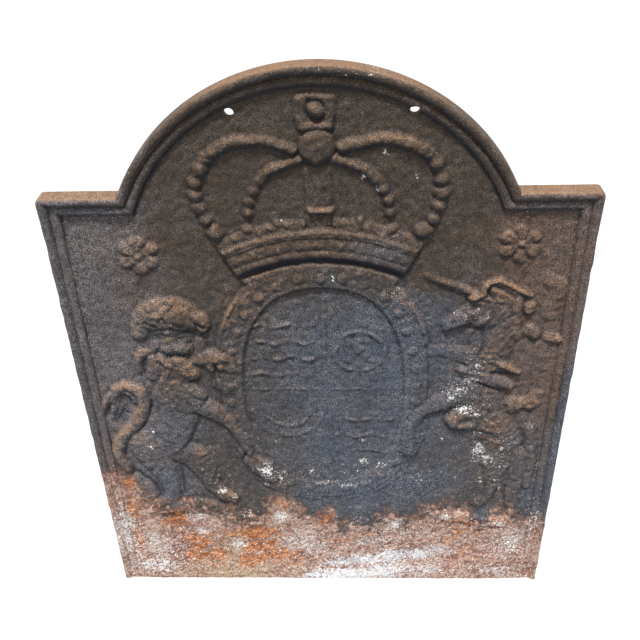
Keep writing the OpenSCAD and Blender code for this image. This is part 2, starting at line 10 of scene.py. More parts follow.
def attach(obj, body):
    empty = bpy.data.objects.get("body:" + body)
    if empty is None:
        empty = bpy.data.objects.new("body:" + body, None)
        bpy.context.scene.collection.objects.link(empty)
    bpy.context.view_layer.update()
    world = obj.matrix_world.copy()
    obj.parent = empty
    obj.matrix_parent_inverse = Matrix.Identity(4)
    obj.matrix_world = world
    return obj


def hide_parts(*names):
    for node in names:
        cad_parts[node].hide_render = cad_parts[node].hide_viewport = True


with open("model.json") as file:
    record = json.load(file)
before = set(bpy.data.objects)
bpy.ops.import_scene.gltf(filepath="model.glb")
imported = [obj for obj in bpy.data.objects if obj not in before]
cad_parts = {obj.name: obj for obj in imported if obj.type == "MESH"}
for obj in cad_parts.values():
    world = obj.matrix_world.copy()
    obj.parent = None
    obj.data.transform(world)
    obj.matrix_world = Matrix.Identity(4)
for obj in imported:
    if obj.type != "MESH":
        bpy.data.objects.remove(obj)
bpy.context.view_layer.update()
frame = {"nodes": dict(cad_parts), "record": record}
print("frame loaded,", len(frame["nodes"]), "solids")

# camera, lamps and floor

photoCamera = {
    "turns": (33.694, 2.047, -0.4406),  # degrees about x, y and z
    "offset": (12.455, 379.492, 1179.144),
    "front": 12.0,  # the frontmost plane of the edge moulding
    "lens": 45.42,
    "sensor": 36.0,
    "reach": 50.0,  # metres
}


def addToScene(name, data):
    # a new object that holds the data, in the scene's own collection
    made = bpy.data.objects.new(name, data)
    bpy.context.scene.collection.objects.link(made)
    return made


def placeCamera(view):
    # the turns about x, y and z, one after the other, and then the offset carry the object in front of the lens
    # the camera stands where both are undone
    ax, ay, az = (math.radians(a) for a in view["turns"])
    turn = Matrix.Rotation(az, 3, "Z") @ Matrix.Rotation(ay, 3, "Y") @ Matrix.Rotation(ax, 3, "X")
    toLens = turn @ Matrix(((1, 0, 0), (0, 0, -1), (0, 1, 0)))
    spot = -(toLens.inverted() @ Vector(view["offset"]))
    spot.y -= view["front"]
    data = bpy.data.cameras.new("photoCamera")
    data.lens = view["lens"]
    data.sensor_width = view["sensor"]
    data.clip_end = view["reach"]
    camera = addToScene("photoCamera", data)
    upright = Matrix.Diagonal((1, -1, -1)) @ toLens
    camera.matrix_world = Matrix.Translation(spot / 1000) @ upright.transposed().to_4x4()
    bpy.context.scene.camera = camera


placeCamera(photoCamera)

studio = {
    "keyHeight": 69.0,  # degrees above the floor
    "keySide": -12.0,  # degrees to the left of the front
    "keyStrength": 5.9,
    "keySoftness": 9.0,
    "sky": 0.345,  # how strongly the sky lights the object
    "skySeen": 1.0,  # and how bright it looks itself
    "floorColour": (0.34, 0.34, 0.335),
    "floorRoughness": 0.9,
    "floorGlow": 0.40,  # what the floor adds of its own where it is looked at
    "floorSize": 9.0,  # metres from the middle to a side
}


def node(tree, kind, inputs=None, **settings):
    # one shader node, with its settings, and each input either a number, a colour or another node's output
    made = tree.nodes.new("ShaderNode" + kind)
    for name, value in settings.items():
        setattr(made, name, value)
    for name, value in (inputs or {}).items():
        if isinstance(value, bpy.types.NodeSocket):
            tree.links.new(value, made.inputs[name])
        else:
            made.inputs[name].default_value = value
    return made


def seenDirectly(tree):
    # 1 for a ray from the camera, through glass or off polish, and 0 for any other: the largest of the three
    path = node(tree, "LightPath")
    seen = path.outputs["Is Camera Ray"]
    for kind in ("Is Transmission Ray", "Is Glossy Ray"):
        seen = node(tree, "Math", {0: seen, 1: path.outputs[kind]}, operation="MAXIMUM").outputs[0]
    return seen


def lightStudio(light):
    # the key is a soft far lamp; its heading is the unit vector of its height and side angles
    up, side = math.radians(light["keyHeight"]), math.radians(light["keySide"])
    data = bpy.data.lights.new("keyLamp", "SUN")
    data.energy = light["keyStrength"]
    data.angle = math.radians(light["keySoftness"])
    lamp = addToScene("keyLamp", data)
    heading = Vector((math.sin(side) * math.cos(up), -math.cos(side) * math.cos(up), math.sin(up)))
    lamp.rotation_euler = heading.to_track_quat("Z", "Y").to_euler()
    world = bpy.data.worlds.new("studioWorld")
    bpy.context.scene.world = world
    world.use_nodes = True
    tree = world.node_tree
    tree.nodes.clear()
    sky = node(tree, "Background", {"Color": (1, 1, 1, 1), "Strength": light["sky"]})
    white = node(tree, "Background", {"Color": (1, 1, 1, 1), "Strength": light["skySeen"]})
    mixed = node(tree, "MixShader", {0: seenDirectly(tree), 1: sky.outputs[0], 2: white.outputs[0]})
    node(tree, "OutputWorld", {"Surface": mixed.outputs[0]})


def layFloor(light):
    # a level square of pale matt board, with a glow of its own where it is looked at
    half = light["floorSize"]
    mesh = bpy.data.meshes.new("floor")
    mesh.from_pydata([(-half, -half, 0), (half, -half, 0), (half, half, 0), (-half, half, 0)], [], [(0, 1, 2, 3)])
    floor = addToScene("floor", mesh)
    pale = bpy.data.materials.new("paleFloor")
    pale.use_nodes = True
    tree = pale.node_tree
    shader = tree.nodes["Principled BSDF"]
    shader.inputs["Base Color"].default_value = (*light["floorColour"], 1)
    shader.inputs["Roughness"].default_value = light["floorRoughness"]
    shader.inputs["Emission Color"].default_value = (1, 1, 1, 1)
    glow = node(tree, "Math", {0: seenDirectly(tree), 1: light["floorGlow"]}, operation="MULTIPLY")
    tree.links.new(glow.outputs[0], shader.inputs["Emission Strength"])
    mesh.materials.append(pale)


lightStudio(studio)
layFloor(studio)
bpy.context.scene.view_settings.view_transform = "Standard"
print("camera, lamps and floor placed")

# the plate's outline and the sculpting grid

outline = {
    "halfWidth": 300.0,
    "height": 746.0,
    "shoulder": 610.0,
    "archRadius": 234.0,
    "archZ": 512.0,
    "corner": 6.0,  # radius of the shoulders' rounded corners
    "field": -2.0,  # the plane of the field and of the back, along y
    "back": 12.0,
}
sculpt = {
    "step": 1.0,
    "below": -60.0,  # stands for no piece at all
    "margin": 7.0,  # how far past its width a stroke is worked out
    "thinnest": 0.5,
    "grooveReach": 2.2,  # in half widths
    "blurShare": 4.5,  # a wavelength over this is the blur that takes it away
    "drift": 0.8,
    "wear": 1.05,
}
gridX, gridZ = np.meshgrid(
    np.arange(-outline["halfWidth"], outline["halfWidth"] + 0.5 * sculpt["step"], sculpt["step"]),
    np.arange(0.0, outline["height"] + 0.5 * sculpt["step"], sculpt["step"]),
)


def insideOutline(x, z):
    # how far inside the plate's edge a point lies: the larger of its distances inside the square part and the arch
    square = np.minimum(outline["halfWidth"] - np.abs(x), outline["shoulder"] - z)
    return np.maximum(square, outline["archRadius"] - np.hypot(x, z - outline["archZ"]))


def smoothCurve(rows, steps):
    # Catmull-Rom curve through the rows: each stretch is a cubic whose slopes are half the chord of its neighbours
    rows = np.asarray(rows, float)
    if len(rows) < 3 or steps < 2:
        return rows
    padded = np.vstack([2 * rows[0] - rows[1], rows, 2 * rows[-1] - rows[-2]])
    a, b, c, d = padded[:-3, None], padded[1:-2, None], padded[2:-1, None], padded[3:, None]
    t = np.arange(steps)[None, :, None] / steps
    curve = b + 0.5 * t * ((c - a) + t * ((2 * a - 5 * b + 4 * c - d) + t * (3 * b - a - 3 * c + d)))
    return np.vstack([curve.reshape(-1, rows.shape[1]), rows[-1:]])


def window(x0, x1, z0, z1):
    # the part of the grid that covers a box
    step = sculpt["step"]
    i0 = max(int((x0 + outline["halfWidth"]) / step), 0)
    i1 = min(int((x1 + outline["halfWidth"]) / step) + 2, gridX.shape[1])
    j0 = max(int(z0 / step), 0)
    j1 = min(int(z1 / step) + 2, gridX.shape[0])
    return slice(j0, j1), slice(i0, i1)


def alongStroke(rows, steps, reach):
    # for each stretch of a stroke: the grid near it, and there the distance to it
    # with them come the stroke's half width and height at the nearest point
    curve = smoothCurve(rows, steps)
    if len(curve) == 1:
        curve = np.vstack([curve, curve + [0.01, 0, 0, 0]])  # a single point is a very short stroke
    for (ax, az, aw, ah), (bx, bz, bw, bh) in zip(curve[:-1], curve[1:]):
        r = max(aw, bw) * reach + sculpt["margin"]
        here = window(min(ax, bx) - r, max(ax, bx) + r, min(az, bz) - r, max(az, bz) + r)
        x, z = driftX[here] - ax, driftZ[here] - az
        dx, dz = bx - ax, bz - az
        t = np.clip((x * dx + z * dz) / (dx * dx + dz * dz + 1e-9), 0, 1)
        half = np.maximum(aw + t * (bw - aw), sculpt["thinnest"])
        yield here, np.hypot(x - t * dx, z - t * dz), half, ah + t * (bh - ah)


def ridge(strokes, power=0.8, steps=4, slope=0.45, base=0.0):
    # base + height * (1 - (d / w)^2)^power within the half width w of a stroke, and a straight slope down outside it
    out = np.full(gridX.shape, sculpt["below"])
    for rows in strokes:
        for here, d, w, h in alongStroke(rows, steps, 1.0):
            r = d / w
            value = np.where(r < 1, h * np.maximum(1 - r * r, 0) ** power, -slope * (d - w))
            out[here] = np.maximum(out[here], base + value)
    return out


def groove(strokes, steps=4):
    # depth * exp(-(d / w)^2) round each stroke, the deepest one at each point
    out = np.zeros(gridX.shape)
    for rows in strokes:
        for here, d, w, h in alongStroke(rows, steps, sculpt["grooveReach"]):
            out[here] = np.maximum(out[here], h * np.exp(-((d / w) ** 2)))
    return out


def rounded(d, round, rise, slope):
    # full height up to d = 0, a quarter circle down from there to d = round, and a straight slope past it
    r = np.clip(d / round, 0, 1)
    return np.where(d < round, rise * np.sqrt(np.maximum(1 - r * r, 0)), -slope * (d - round))


def slab(x0, x1, z0, z1, rise, round=1.6, slope=1.2):
    # a flat bar with rounded edges
    d = np.maximum(np.maximum(x0 - gridX, gridX - x1), np.maximum(z0 - gridZ, gridZ - z1)) + round
    return np.maximum(rounded(d, round, rise, slope), sculpt["below"])


def faded(field, share):
    # a field whose height over the plate is worn down to a share of itself
    return np.where(field > 0, field * share, field)


def blur(field, sigma):
    # Gaussian smoothing through the Fourier transform, with the field held level past its edges
    pad = int(4 * sigma / sculpt["step"]) + 2
    wide = np.pad(field, pad, mode="edge")
    fz = np.fft.fftfreq(wide.shape[0], sculpt["step"])[:, None]
    fx = np.fft.rfftfreq(wide.shape[1], sculpt["step"])[None, :]
    kernel = np.exp(-2 * (np.pi * sigma) ** 2 * (fx * fx + fz * fz))
    return np.fft.irfft2(np.fft.rfft2(wide) * kernel, wide.shape)[pad:-pad, pad:-pad]


def bandNoise(seed, coarse, fine):
    # random numbers kept only between two wavelengths, scaled to a spread of one
    noise = np.random.default_rng(seed).standard_normal(gridX.shape)
    band = blur(noise, fine / sculpt["blurShare"]) - blur(noise, coarse / sculpt["blurShare"])
    return band / band.std()


def ease(a, b, value):
    # smooth step from 0 at a to 1 at b: 3t^2 - 2t^3
    t = np.clip((value - a) / (b - a), 0, 1)
    return t * t * (3 - 2 * t)


def sample(field, x, z):
    # the field between its grid points, weighted by nearness along x and z
    gx = np.clip((x + outline["halfWidth"]) / sculpt["step"], 0, gridX.shape[1] - 1.001)
    gz = np.clip(z / sculpt["step"], 0, gridX.shape[0] - 1.001)
    i, j = gx.astype(int), gz.astype(int)
    fx, fz = gx - i, gz - j
    low = field[j, i] * (1 - fx) + field[j, i + 1] * fx
    high = field[j + 1, i] * (1 - fx) + field[j + 1, i + 1] * fx
    return low * (1 - fz) + high * fz


lockNoise = bandNoise(15, 24, 8)
hairNoise = bandNoise(17, 10, 4)
driftX = gridX + sculpt["drift"] * bandNoise(18, 90, 36)  # hand carving wavers: strokes lie on a slightly bent grid
driftZ = gridZ + sculpt["drift"] * bandNoise(19, 90, 36)
grooveShade = np.zeros(gridX.shape)  # how much painted shade lies in the cut lines

carving = {
    "power": 0.8,
    "rough": 0.15,
    "hair": 0.1,
    "roughAbove": 4.0,  # the height at which the roughness is full
    "grooves": [],
    "cut": 1.1,
    "sootDepth": 2.6,  # a groove this deep is painted in full shade
}


def carve(piece):
    # the highest of the piece's ridges, roughened by lumps and hair on top, less its grooves
    made = {**carving, **piece}
    field = ridge(made["ridges"], power=made["power"])
    field = field + (made["rough"] * lockNoise + made["hair"] * hairNoise) * ease(0, made["roughAbove"], field)
    cut = groove(made["grooves"])
    # painted shade in the grooves, darker the deeper they are
    np.maximum(grooveShade, np.clip(cut / made["sootDepth"], 0, 1), out=grooveShade)
    return field - made["cut"] * cut


fields = {}  # the raw height of each raised piece over the field

# crown

crown = {
    "centre": (1.0, 323.1),
    "halfAngle": 27.0,  # degrees from the middle to either end
    "lowerRoll": (209.5, 222.5, 6.6, 0.36),  # inner and outer radius, height, power
    "band": (220.0, 236.0, 6.1, 0.14),
    "upperRoll": (234.5, 246.0, 6.9, 0.34),
    "base": (240.0, 258.0, 3.4, 0.6),
    "sideSlope": 0.8,
    "endSlope": 1.8,
    "upperLine": (239.5, 1.0, 1.1),  # a line cut along the upper roll: radius, half width, depth
    "jewelRadius": 227.0,
    "jewels": [(range(-24, 25, 6), (5.4, 1.3)), (range(-21, 22, 6), (3.0, 1.1))],  # degrees, half width and height
    "jewelBase": 5.7,
    "baseRough": 0.5,
    "baseGap": (15.0, -2.0, 9.0),  # half width of the gap in the base, the height in it and the limit beside it
    "knobs": [  # degrees to either side of the middle, radius, half width, height
        (25.0, 267.0, 10.5, 7.5), (17.5, 257.0, 6.8, 6.0), (6.0, 249.0, 3.8, 3.6), (14.0, 251.0, 3.6, 3.6),
        (8.1, 252.0, 5.4, 4.6), (10.0, 256.0, 5.4, 4.6), (11.9, 252.0, 5.4, 4.6),
    ],
}
crownX, crownZ = gridX - crown["centre"][0], gridZ - crown["centre"][1]
crownR = np.hypot(crownX, crownZ)
crownEnd = (math.radians(crown["halfAngle"]) - np.abs(np.arctan2(crownX, crownZ))) * crownR
crownEnd = np.where(crownZ > 0, crownEnd, sculpt["below"])  # distance inside the circlet's end


def ring(inner, outer, rise, power):
    # a bar bent round the crown's centre: rise * (1 - (d / w)^2)^power across it, cut off steeply at its ends
    middle, half = (inner + outer) / 2, (outer - inner) / 2
    r = np.abs(crownR - middle) / half
    value = np.where(r < 1, rise * np.maximum(1 - r * r, 0) ** power, -crown["sideSlope"] * (r - 1) * half)
    return np.maximum(np.minimum(value, crown["endSlope"] * crownEnd), sculpt["below"])


def crownPoint(angle, radius, half, rise):
    # the point of a stroke at an angle from the middle and a radius from the crown's centre
    a = math.radians(angle)
    return crown["centre"][0] + radius * math.sin(a), crown["centre"][1] + radius * math.cos(a), half, rise


fields["circlet_lower_roll"] = ring(*crown["lowerRoll"])
fields["circlet_band"] = ring(*crown["band"])
upperLine = [crownPoint(a, *crown["upperLine"]) for a in np.linspace(-crown["halfAngle"], crown["halfAngle"], 19)]
fields["circlet_upper_roll"] = ring(*crown["upperRoll"]) - groove([upperLine])
jewels = [[crownPoint(a, crown["jewelRadius"], *size)] for angles, size in crown["jewels"] for a in angles]
fields["circlet_jewels"] = ridge(jewels, slope=2.0, base=crown["jewelBase"])
gapHalf, gapRise, baseLimit = crown["baseGap"]
crownBase = ring(*crown["base"]) + crown["baseRough"] * lockNoise
crownBase = np.minimum(crownBase, np.where(np.abs(crownX) < gapHalf, gapRise, baseLimit))
fleurons = [[crownPoint(side * angle, *size)] for angle, *size in crown["knobs"] for side in (-1, 1)]
fields["crown_fleurons"] = np.maximum(ridge(fleurons), crownBase)

arches = {
    "outerPearls": [
        (-121, 580, 7.6, 6.5), (-127, 594.5, 7.8, 6.7), (-129, 609.5, 7.8, 6.7), (-127.5, 624.5, 7.8, 6.7),
        (-121.5, 639.5, 7.8, 6.7),
    ],
    "outerRoll": [
        (-113, 651, 7.4, 6.1), (-100, 661, 7.4, 6.4), (-83, 667.5, 7.4, 6.5), (-63, 669, 7.2, 6.5),
        (-42, 666, 6.8, 6.3), (-24, 659.5, 6.0, 5.8),
    ],
    "innerPearls": [(-74.5, 588, 6.2, 5.3), (-72, 601, 6.4, 5.5), (-68, 614, 6.4, 5.5)],
    "innerRoll": [(-61, 625.5, 6.0, 5.3), (-49, 635.5, 5.8, 5.6), (-35, 643, 5.6, 5.6), (-18, 648, 5.2, 5.3)],
    "leftCuts": [[(-119, 653, 1.5, 2.0), (-108, 650, 1.5, 2.0)]],  # the last pearls show at the foot of the roll
    "rightCuts": [[(116, 655, 1.6, 2.2), (121, 647, 1.6, 2.2)], [(106, 662, 1.3, 1.4), (109, 655, 1.3, 1.4)]],
    "form": {"power": 0.62, "slope": 0.9},
    "pearlThread": (0.70, 0.62),  # shares of the pearls' half width and height for the thread that joins them
    "rollThread": (0.9, 0.9),
    "nick": (7.0, -1.5, 1.2, 2.0),  # the cut between two pearls: to the side and down, half width, depth
    "nickCut": 0.7,
    "nickSoot": 0.25,
    "rough": 0.16,
}


def mirrored(rows):
    # the same points on the other side of the crown's middle
    return [(2 * crown["centre"][0] - x, z, w, h) for x, z, w, h in rows]


def thinned(rows, shares):
    # the same points with their half width and height multiplied by the two shares
    return [(x, z, shares[0] * w, shares[1] * h) for x, z, w, h in rows]


def crownArch(pearls, roll, flip):
    # the highest of the pearls, the smooth roll above them and a thinner thread through both, nicked between the pearls
    domes = [[row] for row in pearls] + [[tuple(row)] for row in smoothCurve(roll, 2)]
    thread = thinned(pearls, arches["pearlThread"]) + thinned(roll, arches["rollThread"])
    arch = ridge([flip(rows) for rows in domes + [thread]], **arches["form"])
    reach, drop, half, depth = arches["nick"]
    nicks = []
    for a, b in zip(pearls, pearls[1:] + roll[:1]):
        x, z = (a[0] + b[0]) / 2, (a[1] + b[1]) / 2
        nicks.append(flip([(x - reach, z - drop, half, depth), (x + reach, z + drop, half, depth)]))
    cut = groove(nicks)
    # painted shade in the nicks between the pearls
    np.maximum(grooveShade, arches["nickSoot"] * cut, out=grooveShade)
    arch = arch - arches["nickCut"] * cut
    return arch + arches["rough"] * lockNoise * ease(0, 3, arch)


for side, flip in (("left", list), ("right", mirrored)):
    for form in ("outer", "inner"):
        archName = "crown_" + side + "_" + form + "_arch"
        fields[archName] = crownArch(arches[form + "Pearls"], arches[form + "Roll"], flip)
    fields["crown_" + side + "_outer_arch"] -= groove(arches[side + "Cuts"])

centreArch = [  # left, right, foot, top, height and rounding of each bar
    (-12, 14, 566, 641, 1.3, 1.6), (-12, -9, 566, 641, 2.6, 1.4), (12, 15, 566, 641, 2.4, 1.4),
    (-10, 17, 587, 593.5, 6.6, 2.0),
]
fields["crown_centre_arch"] = np.max([slab(*bar) for bar in centreArch], axis=0)
orb = [
    [(1, 661.1, 18.5, 8.6)],
    [(-4, 669.1, 12, 8.0), (6, 669.1, 12, 8.0)],
    [(1, 657.1, 14.5, 8.2), (1, 649.1, 7.5, 7.2), (1, 643.1, 2.8, 5.2)],
]
fields["crown_orb"] = ridge(orb, power=0.42, slope=0.9)
cross = {
    "arms": [
        [(-13, 710, 7, 4.4), (-14, 698, 6, 4.0), (-13, 687, 6, 4.6)],
        [(14, 710, 7, 4.4), (15, 698, 6, 4.0), (14, 687, 6, 4.6)],
        [(-13, 684.5, 5.0, 6.4), (1, 683.5, 4.6, 5.4), (15, 684.5, 5.0, 6.4)],
        [(-8, 713, 4, 2.8), (9, 713, 4, 2.8)],
    ],
    "rough": 0.2,
    "ball": (1.0, 699, 9.2, 8.4),
}
fields["crown_cross"] = ridge(cross["arms"], power=0.5, slope=0.9) + cross["rough"] * hairNoise
fields["crown_cross_ball"] = ridge([[cross["ball"]]], slope=0.9)
print("crown shaped")

# garter and arms

garter = {
    "centre": (1.0, 342.1),
    "half": (99.0, 152.0),
    "power": 2.4,
    "growthSpan": (-97.0, 60.0),
    "halvings": 14,
    "reach": (-150, 150, 140, 545),  # the box in which the oval is worked out
    "strap": (0.0, 28.0, 4.0, 1.4),  # inner and outer growth of the oval, height, rounding
    "innerLine": (0.0, 3.5, 4.25, 1.8),
    "outerLine": (22.5, 27.0, 4.4, 2.0),
    "fillet": (26.5, 33.5, 5.4, 3.4),
    "slope": 0.9,
    "wornBelow": (205.0, 395.0),  # the strap fades from the upper height down to the lower one
    "leastLeft": 0.34,
    "sunk": 4.0,  # how far the strap sinks under the circlet, and between which radii of the crown
    "underCrown": (200.0, 204.0),
    "tongueAbove": 480.0,  # over this height the strap widens to fill the gap below the circlet
    "tongueRise": 4.0,
    "tongueEdge": 44.0,
    "tongueSlopes": (1.5, 1.2, 1.4),
    "filletLeft": (0.16, 0.8, 0.1),  # what wear leaves of the fillet: everywhere, more of it in a span, and at least
    "filletSpan": (400, 445, 508, 470),  # heights where that span begins and is full, from below and from above
    "middleSlope": 1.4,
    "studs": 34,
    "studLine": 14.0,
    "stud": (6.4, 2.4),
    "studBase": 3.9,
    "studLeft": 0.4,
}


def ovalGrowth(x, z):
    # how far the oval |x/a|^p + |z/b|^p = 1 has to grow to pass through each point, found by halving
    low, high = (np.full(x.shape, limit) for limit in garter["growthSpan"])
    a, b = garter["half"]
    for _ in range(garter["halvings"]):
        middle = (low + high) / 2
        outside = (np.abs(x) / (a + middle)) ** garter["power"] + (np.abs(z) / (b + middle)) ** garter["power"] > 1
        low, high = np.where(outside, middle, low), np.where(outside, high, middle)
    return (low + high) / 2


ovalX, ovalZ = garter["centre"]
growth = np.full(gridX.shape, garter["growthSpan"][1])
garterWindow = window(*garter["reach"])
growth[garterWindow] = ovalGrowth(gridX[garterWindow] - ovalX, gridZ[garterWindow] - ovalZ)


def band(inner, outer, rise, round):
    # a strip round the oval, flat between its rounded edges
    d = np.abs(growth - (inner + outer) / 2) - (outer - inner) / 2 + round
    return rounded(d, round, rise, garter["slope"])


garterLeft = garter["leastLeft"] + (1 - garter["leastLeft"]) * ease(*garter["wornBelow"], gridZ)
strap = np.max([band(*garter[name]) for name in ("strap", "innerLine", "outerLine")], axis=0)
strap = faded(strap, garterLeft) - garter["sunk"] * ease(*garter["underCrown"], crownR) * ease(0, 6, crownEnd)
edgeSlope, endSlope, crownSlope = garter["tongueSlopes"]
tongue = np.min([
    edgeSlope * growth,
    edgeSlope * (garter["tongueEdge"] - growth),
    endSlope * (crownEnd - 2),
    crownSlope * (garter["underCrown"][1] - crownR),
], axis=0)
tongue = np.minimum(tongue, garter["tongueRise"])
strap = np.maximum(strap, np.where(gridZ > garter["tongueAbove"], tongue, sculpt["below"]))
everywhere, besideCrown, least = garter["filletLeft"]
spanFoot, spanLow, spanTop, spanHigh = garter["filletSpan"]
filletLeft = everywhere + besideCrown * ease(spanFoot, spanLow, gridZ) * ease(spanTop, spanHigh, gridZ)
filletLeft = np.clip(filletLeft + 0.16 * bandNoise(42, 60, 20), least, 1)
fillet = faded(band(*garter["fillet"]), filletLeft)
for side, past in (("left", gridX - ovalX), ("right", ovalX - gridX)):
    fields["garter_" + side + "_strap"] = strap - garter["middleSlope"] * np.maximum(past, 0)
    fields["garter_" + side + "_fillet"] = fillet - garter["middleSlope"] * np.maximum(past, 0)


def studPlaces():
    # points at even steps of angle, each brought out to the middle line of the strap
    a, b = (half + garter["studLine"] for half in garter["half"])
    t = 2 * np.pi * (np.arange(garter["studs"]) + 0.5) / garter["studs"]
    ux, uz = math.sqrt(a) * np.cos(t), math.sqrt(b) * np.sin(t)
    r = (np.abs(ux / a) ** garter["power"] + np.abs(uz / b) ** garter["power"]) ** (-1 / garter["power"])
    return ovalX + r * ux, ovalZ + r * uz


studBase, studLeft = garter["studBase"], garter["studLeft"]
studs = ridge([[(x, z, *garter["stud"])] for x, z in zip(*studPlaces())], power=0.5, slope=2.0, base=studBase)
wornStuds = studBase * garterLeft + (studs - studBase) * (studLeft + (1 - studLeft) * garterLeft)
fields["garter_studs"] = np.where(studs > studBase, wornStuds, studs - studBase * (1 - garterLeft))
strapEnd = {
    "ridges": [[(-96, 230, 13, 6.6), (-86, 219, 14, 7.4), (-73, 202, 11, 6.6)]],
    "grooves": [[(-92, 236, 1.6, 1.2), (-80, 222, 1.6, 1.2), (-66, 206, 1.6, 1.2)]],
    "power": 0.45,
}
fields["garter_strap_end"] = carve(strapEnd)

arms = {
    "quarter": (3.0, 348.1, 1.6, 1.8),  # middle of the dividing bars, their half width and height
    "quarterReach": (-98, 100, 190, 495),
    "quarterRound": 1.3,
    "inside": (-0.5, 9.0),  # pieces reach up to this growth of the oval, with no limit to their height inside it
    "keepOff": 2.0,
    "bar": (2.7, 2.9),  # half width and height of the charges
    "barPoints": 25,
    "slope": 0.9,
    "upperWaves": (-84, -10, (28, 52, 76, 100)),  # left, right and heights, from the middle of the oval
    "lowerWaves": (14, 84, (-44, -70, -96)),
    "upperRing": (44, 62, 29),
    "lowerArcs": (-46, -28, (27, 43)),
    "upperFigure": [
        [(34, 391, 4, 2.6), (44, 402, 6, 2.8), (45, 414, 7, 2.8), (45, 428, 4, 2.4)],
        [(60, 390, 4, 2.4), (48, 402, 5, 2.6)], [(33, 419, 3.5, 2.4), (57, 419, 3.5, 2.4)],
    ],
    "lowerFigure": [[(-46, 270.1, 3, 2.4), (-46, 312.1, 3, 2.4)]],
    "left": (0.2, 1.0),  # what wear leaves of the charges: everywhere, and more of it in patches
    "lowerShare": 0.5,
}
insideOval = np.where(growth < arms["inside"][0], arms["inside"][1], sculpt["below"])
quarterX, quarterZ, quarterHalf, quarterRise = arms["quarter"]
quarterLeft, quarterRight, quarterFoot, quarterTop = arms["quarterReach"]
upright = (quarterX - quarterHalf, quarterX + quarterHalf, quarterFoot, quarterTop)
level = (quarterLeft, quarterRight, quarterZ - quarterHalf, quarterZ + quarterHalf)
quartering = np.maximum(*(slab(*bar, quarterRise, round=arms["quarterRound"]) for bar in (upright, level)))
fields["arms_quartering"] = np.minimum(quartering, insideOval)
acrossQuarter = np.minimum(np.abs(gridX - quarterX), np.abs(gridZ - quarterZ))


def asBar(x, z):
    # the points as a stroke with the charges' own half width and height
    return np.stack([x, z, *(np.full(len(x), size) for size in arms["bar"])], 1)


def waveBar(x0, x1, z, waves=2, swing=2.2):
    # a bar whose middle line is a sine with whole waves
    x = np.linspace(x0, x1, arms["barPoints"])
    return asBar(x, z + swing * np.sin(2 * np.pi * waves * (x - x0) / (x1 - x0)))


def arcBar(x, z, radius, start, turn):
    # a bar along part of a circle
    t = np.radians(start + turn * np.linspace(0, 1, arms["barPoints"]))
    return asBar(x + radius * np.cos(t), z + radius * np.sin(t))


def waveBars(left, right, heights):
    # level wavy bars one above the other
    return [waveBar(ovalX + left, ovalX + right, ovalZ + z) for z in heights]


ringX, ringZ, ringRadius = arms["upperRing"]
arcX, arcZ, arcRadii = arms["lowerArcs"]
charges = {
    "upper": waveBars(*arms["upperWaves"]) + [arcBar(ovalX + ringX, ovalZ + ringZ, ringRadius, 0, 360)],
    "lower": waveBars(*arms["lowerWaves"]) + [arcBar(ovalX + arcX, ovalZ + arcZ, r, 180, 180) for r in arcRadii],
}
keepOff = np.minimum(insideOval, arms["keepOff"] * (acrossQuarter - quarterHalf))
for row, bars in charges.items():
    figure = ridge(arms[row + "Figure"], slope=arms["slope"])
    shape = np.maximum(ridge(bars, steps=1, slope=arms["slope"]), figure)
    fields["arms_" + row + "_charges"] = np.minimum(shape, keepOff)
armsEverywhere, armsPatches = arms["left"]
armsLeft = np.clip(armsEverywhere + armsPatches * ease(-0.4, 0.9, bandNoise(41, 46, 16)), 0, 1)
armsLeft = armsLeft * (arms["lowerShare"] + (1 - arms["lowerShare"]) * ease(250, 380, gridZ))
for name in ("arms_quartering", "arms_upper_charges", "arms_lower_charges"):
    fields[name] = faded(fields[name], armsLeft)
print("garter and arms shaped")

# lion

lionMane = {
    "ridges": [
        [(-207, 452, 16, 6.4), (-194, 458, 21, 7.6), (-179, 461, 23.5, 8.0), (-164, 459, 22, 7.8),
         (-154, 454, 17, 7.2)],
        [(-216, 445, 9, 5.6), (-215, 435, 10.5, 6.0)],
        [(-148, 459, 10, 7.0), (-140, 453, 9, 7.2), (-139, 443, 8.5, 6.8)],
        [(-207, 407, 6, 4.6), (-217, 403, 8, 5.0), (-223, 392, 6, 4.4), (-223, 378, 4, 3.4)],
        [(-198, 418, 6, 3.6), (-204, 408, 6, 3.8)],
        [(-148, 421, 7, 3.8), (-146, 410, 7, 3.4), (-150, 398, 5, 2.8)],
    ],
    "grooves": [
        [(-206, 428, 1.6, 3.0), (-196, 431, 1.7, 3.8), (-186, 433, 1.8, 4.4), (-174, 434.5, 1.8, 4.6),
         (-164, 435.5, 1.8, 4.4), (-154, 434, 1.7, 3.6)],
        [(-224, 424, 1.4, 1.6), (-215, 421, 1.8, 3.6), (-205, 427, 1.6, 3.0)],
        [(-222, 412, 1.5, 1.6), (-211, 414, 1.5, 2.0)],
        [(-152, 434, 1.6, 2.4), (-144, 430, 1.9, 3.8), (-134, 437, 1.7, 2.8)],
        [(-206, 450, 1.5, 1.6), (-197, 444, 1.6, 2.2), (-191, 444, 1.4, 1.2)],
        [(-189, 451, 1.5, 2.0), (-184, 457, 1.6, 2.4), (-180, 449, 1.5, 1.8)],
        [(-171, 448, 1.5, 2.2), (-165, 443, 1.5, 2.0), (-158, 445, 1.4, 1.6)],
        [(-176, 441, 1.4, 1.4), (-170, 438, 1.4, 1.6)],
        [(-145, 446, 2.2, 2.2), (-139, 444, 2.4, 3.2)], [(-199, 462, 1.4, 1.2), (-193, 467, 1.4, 1.2)],
        [(-176, 467, 1.4, 1.4), (-170, 473, 1.3, 1.2)], [(-161, 459, 1.4, 1.6), (-156, 467, 1.4, 1.2)],
        [(-213, 437, 1.4, 1.6), (-209, 433, 1.4, 1.2)],
    ],
    "power": 0.60,
    "rough": 0.18,
    "hair": 0.13,
}
fields["lion_mane"] = carve(lionMane)
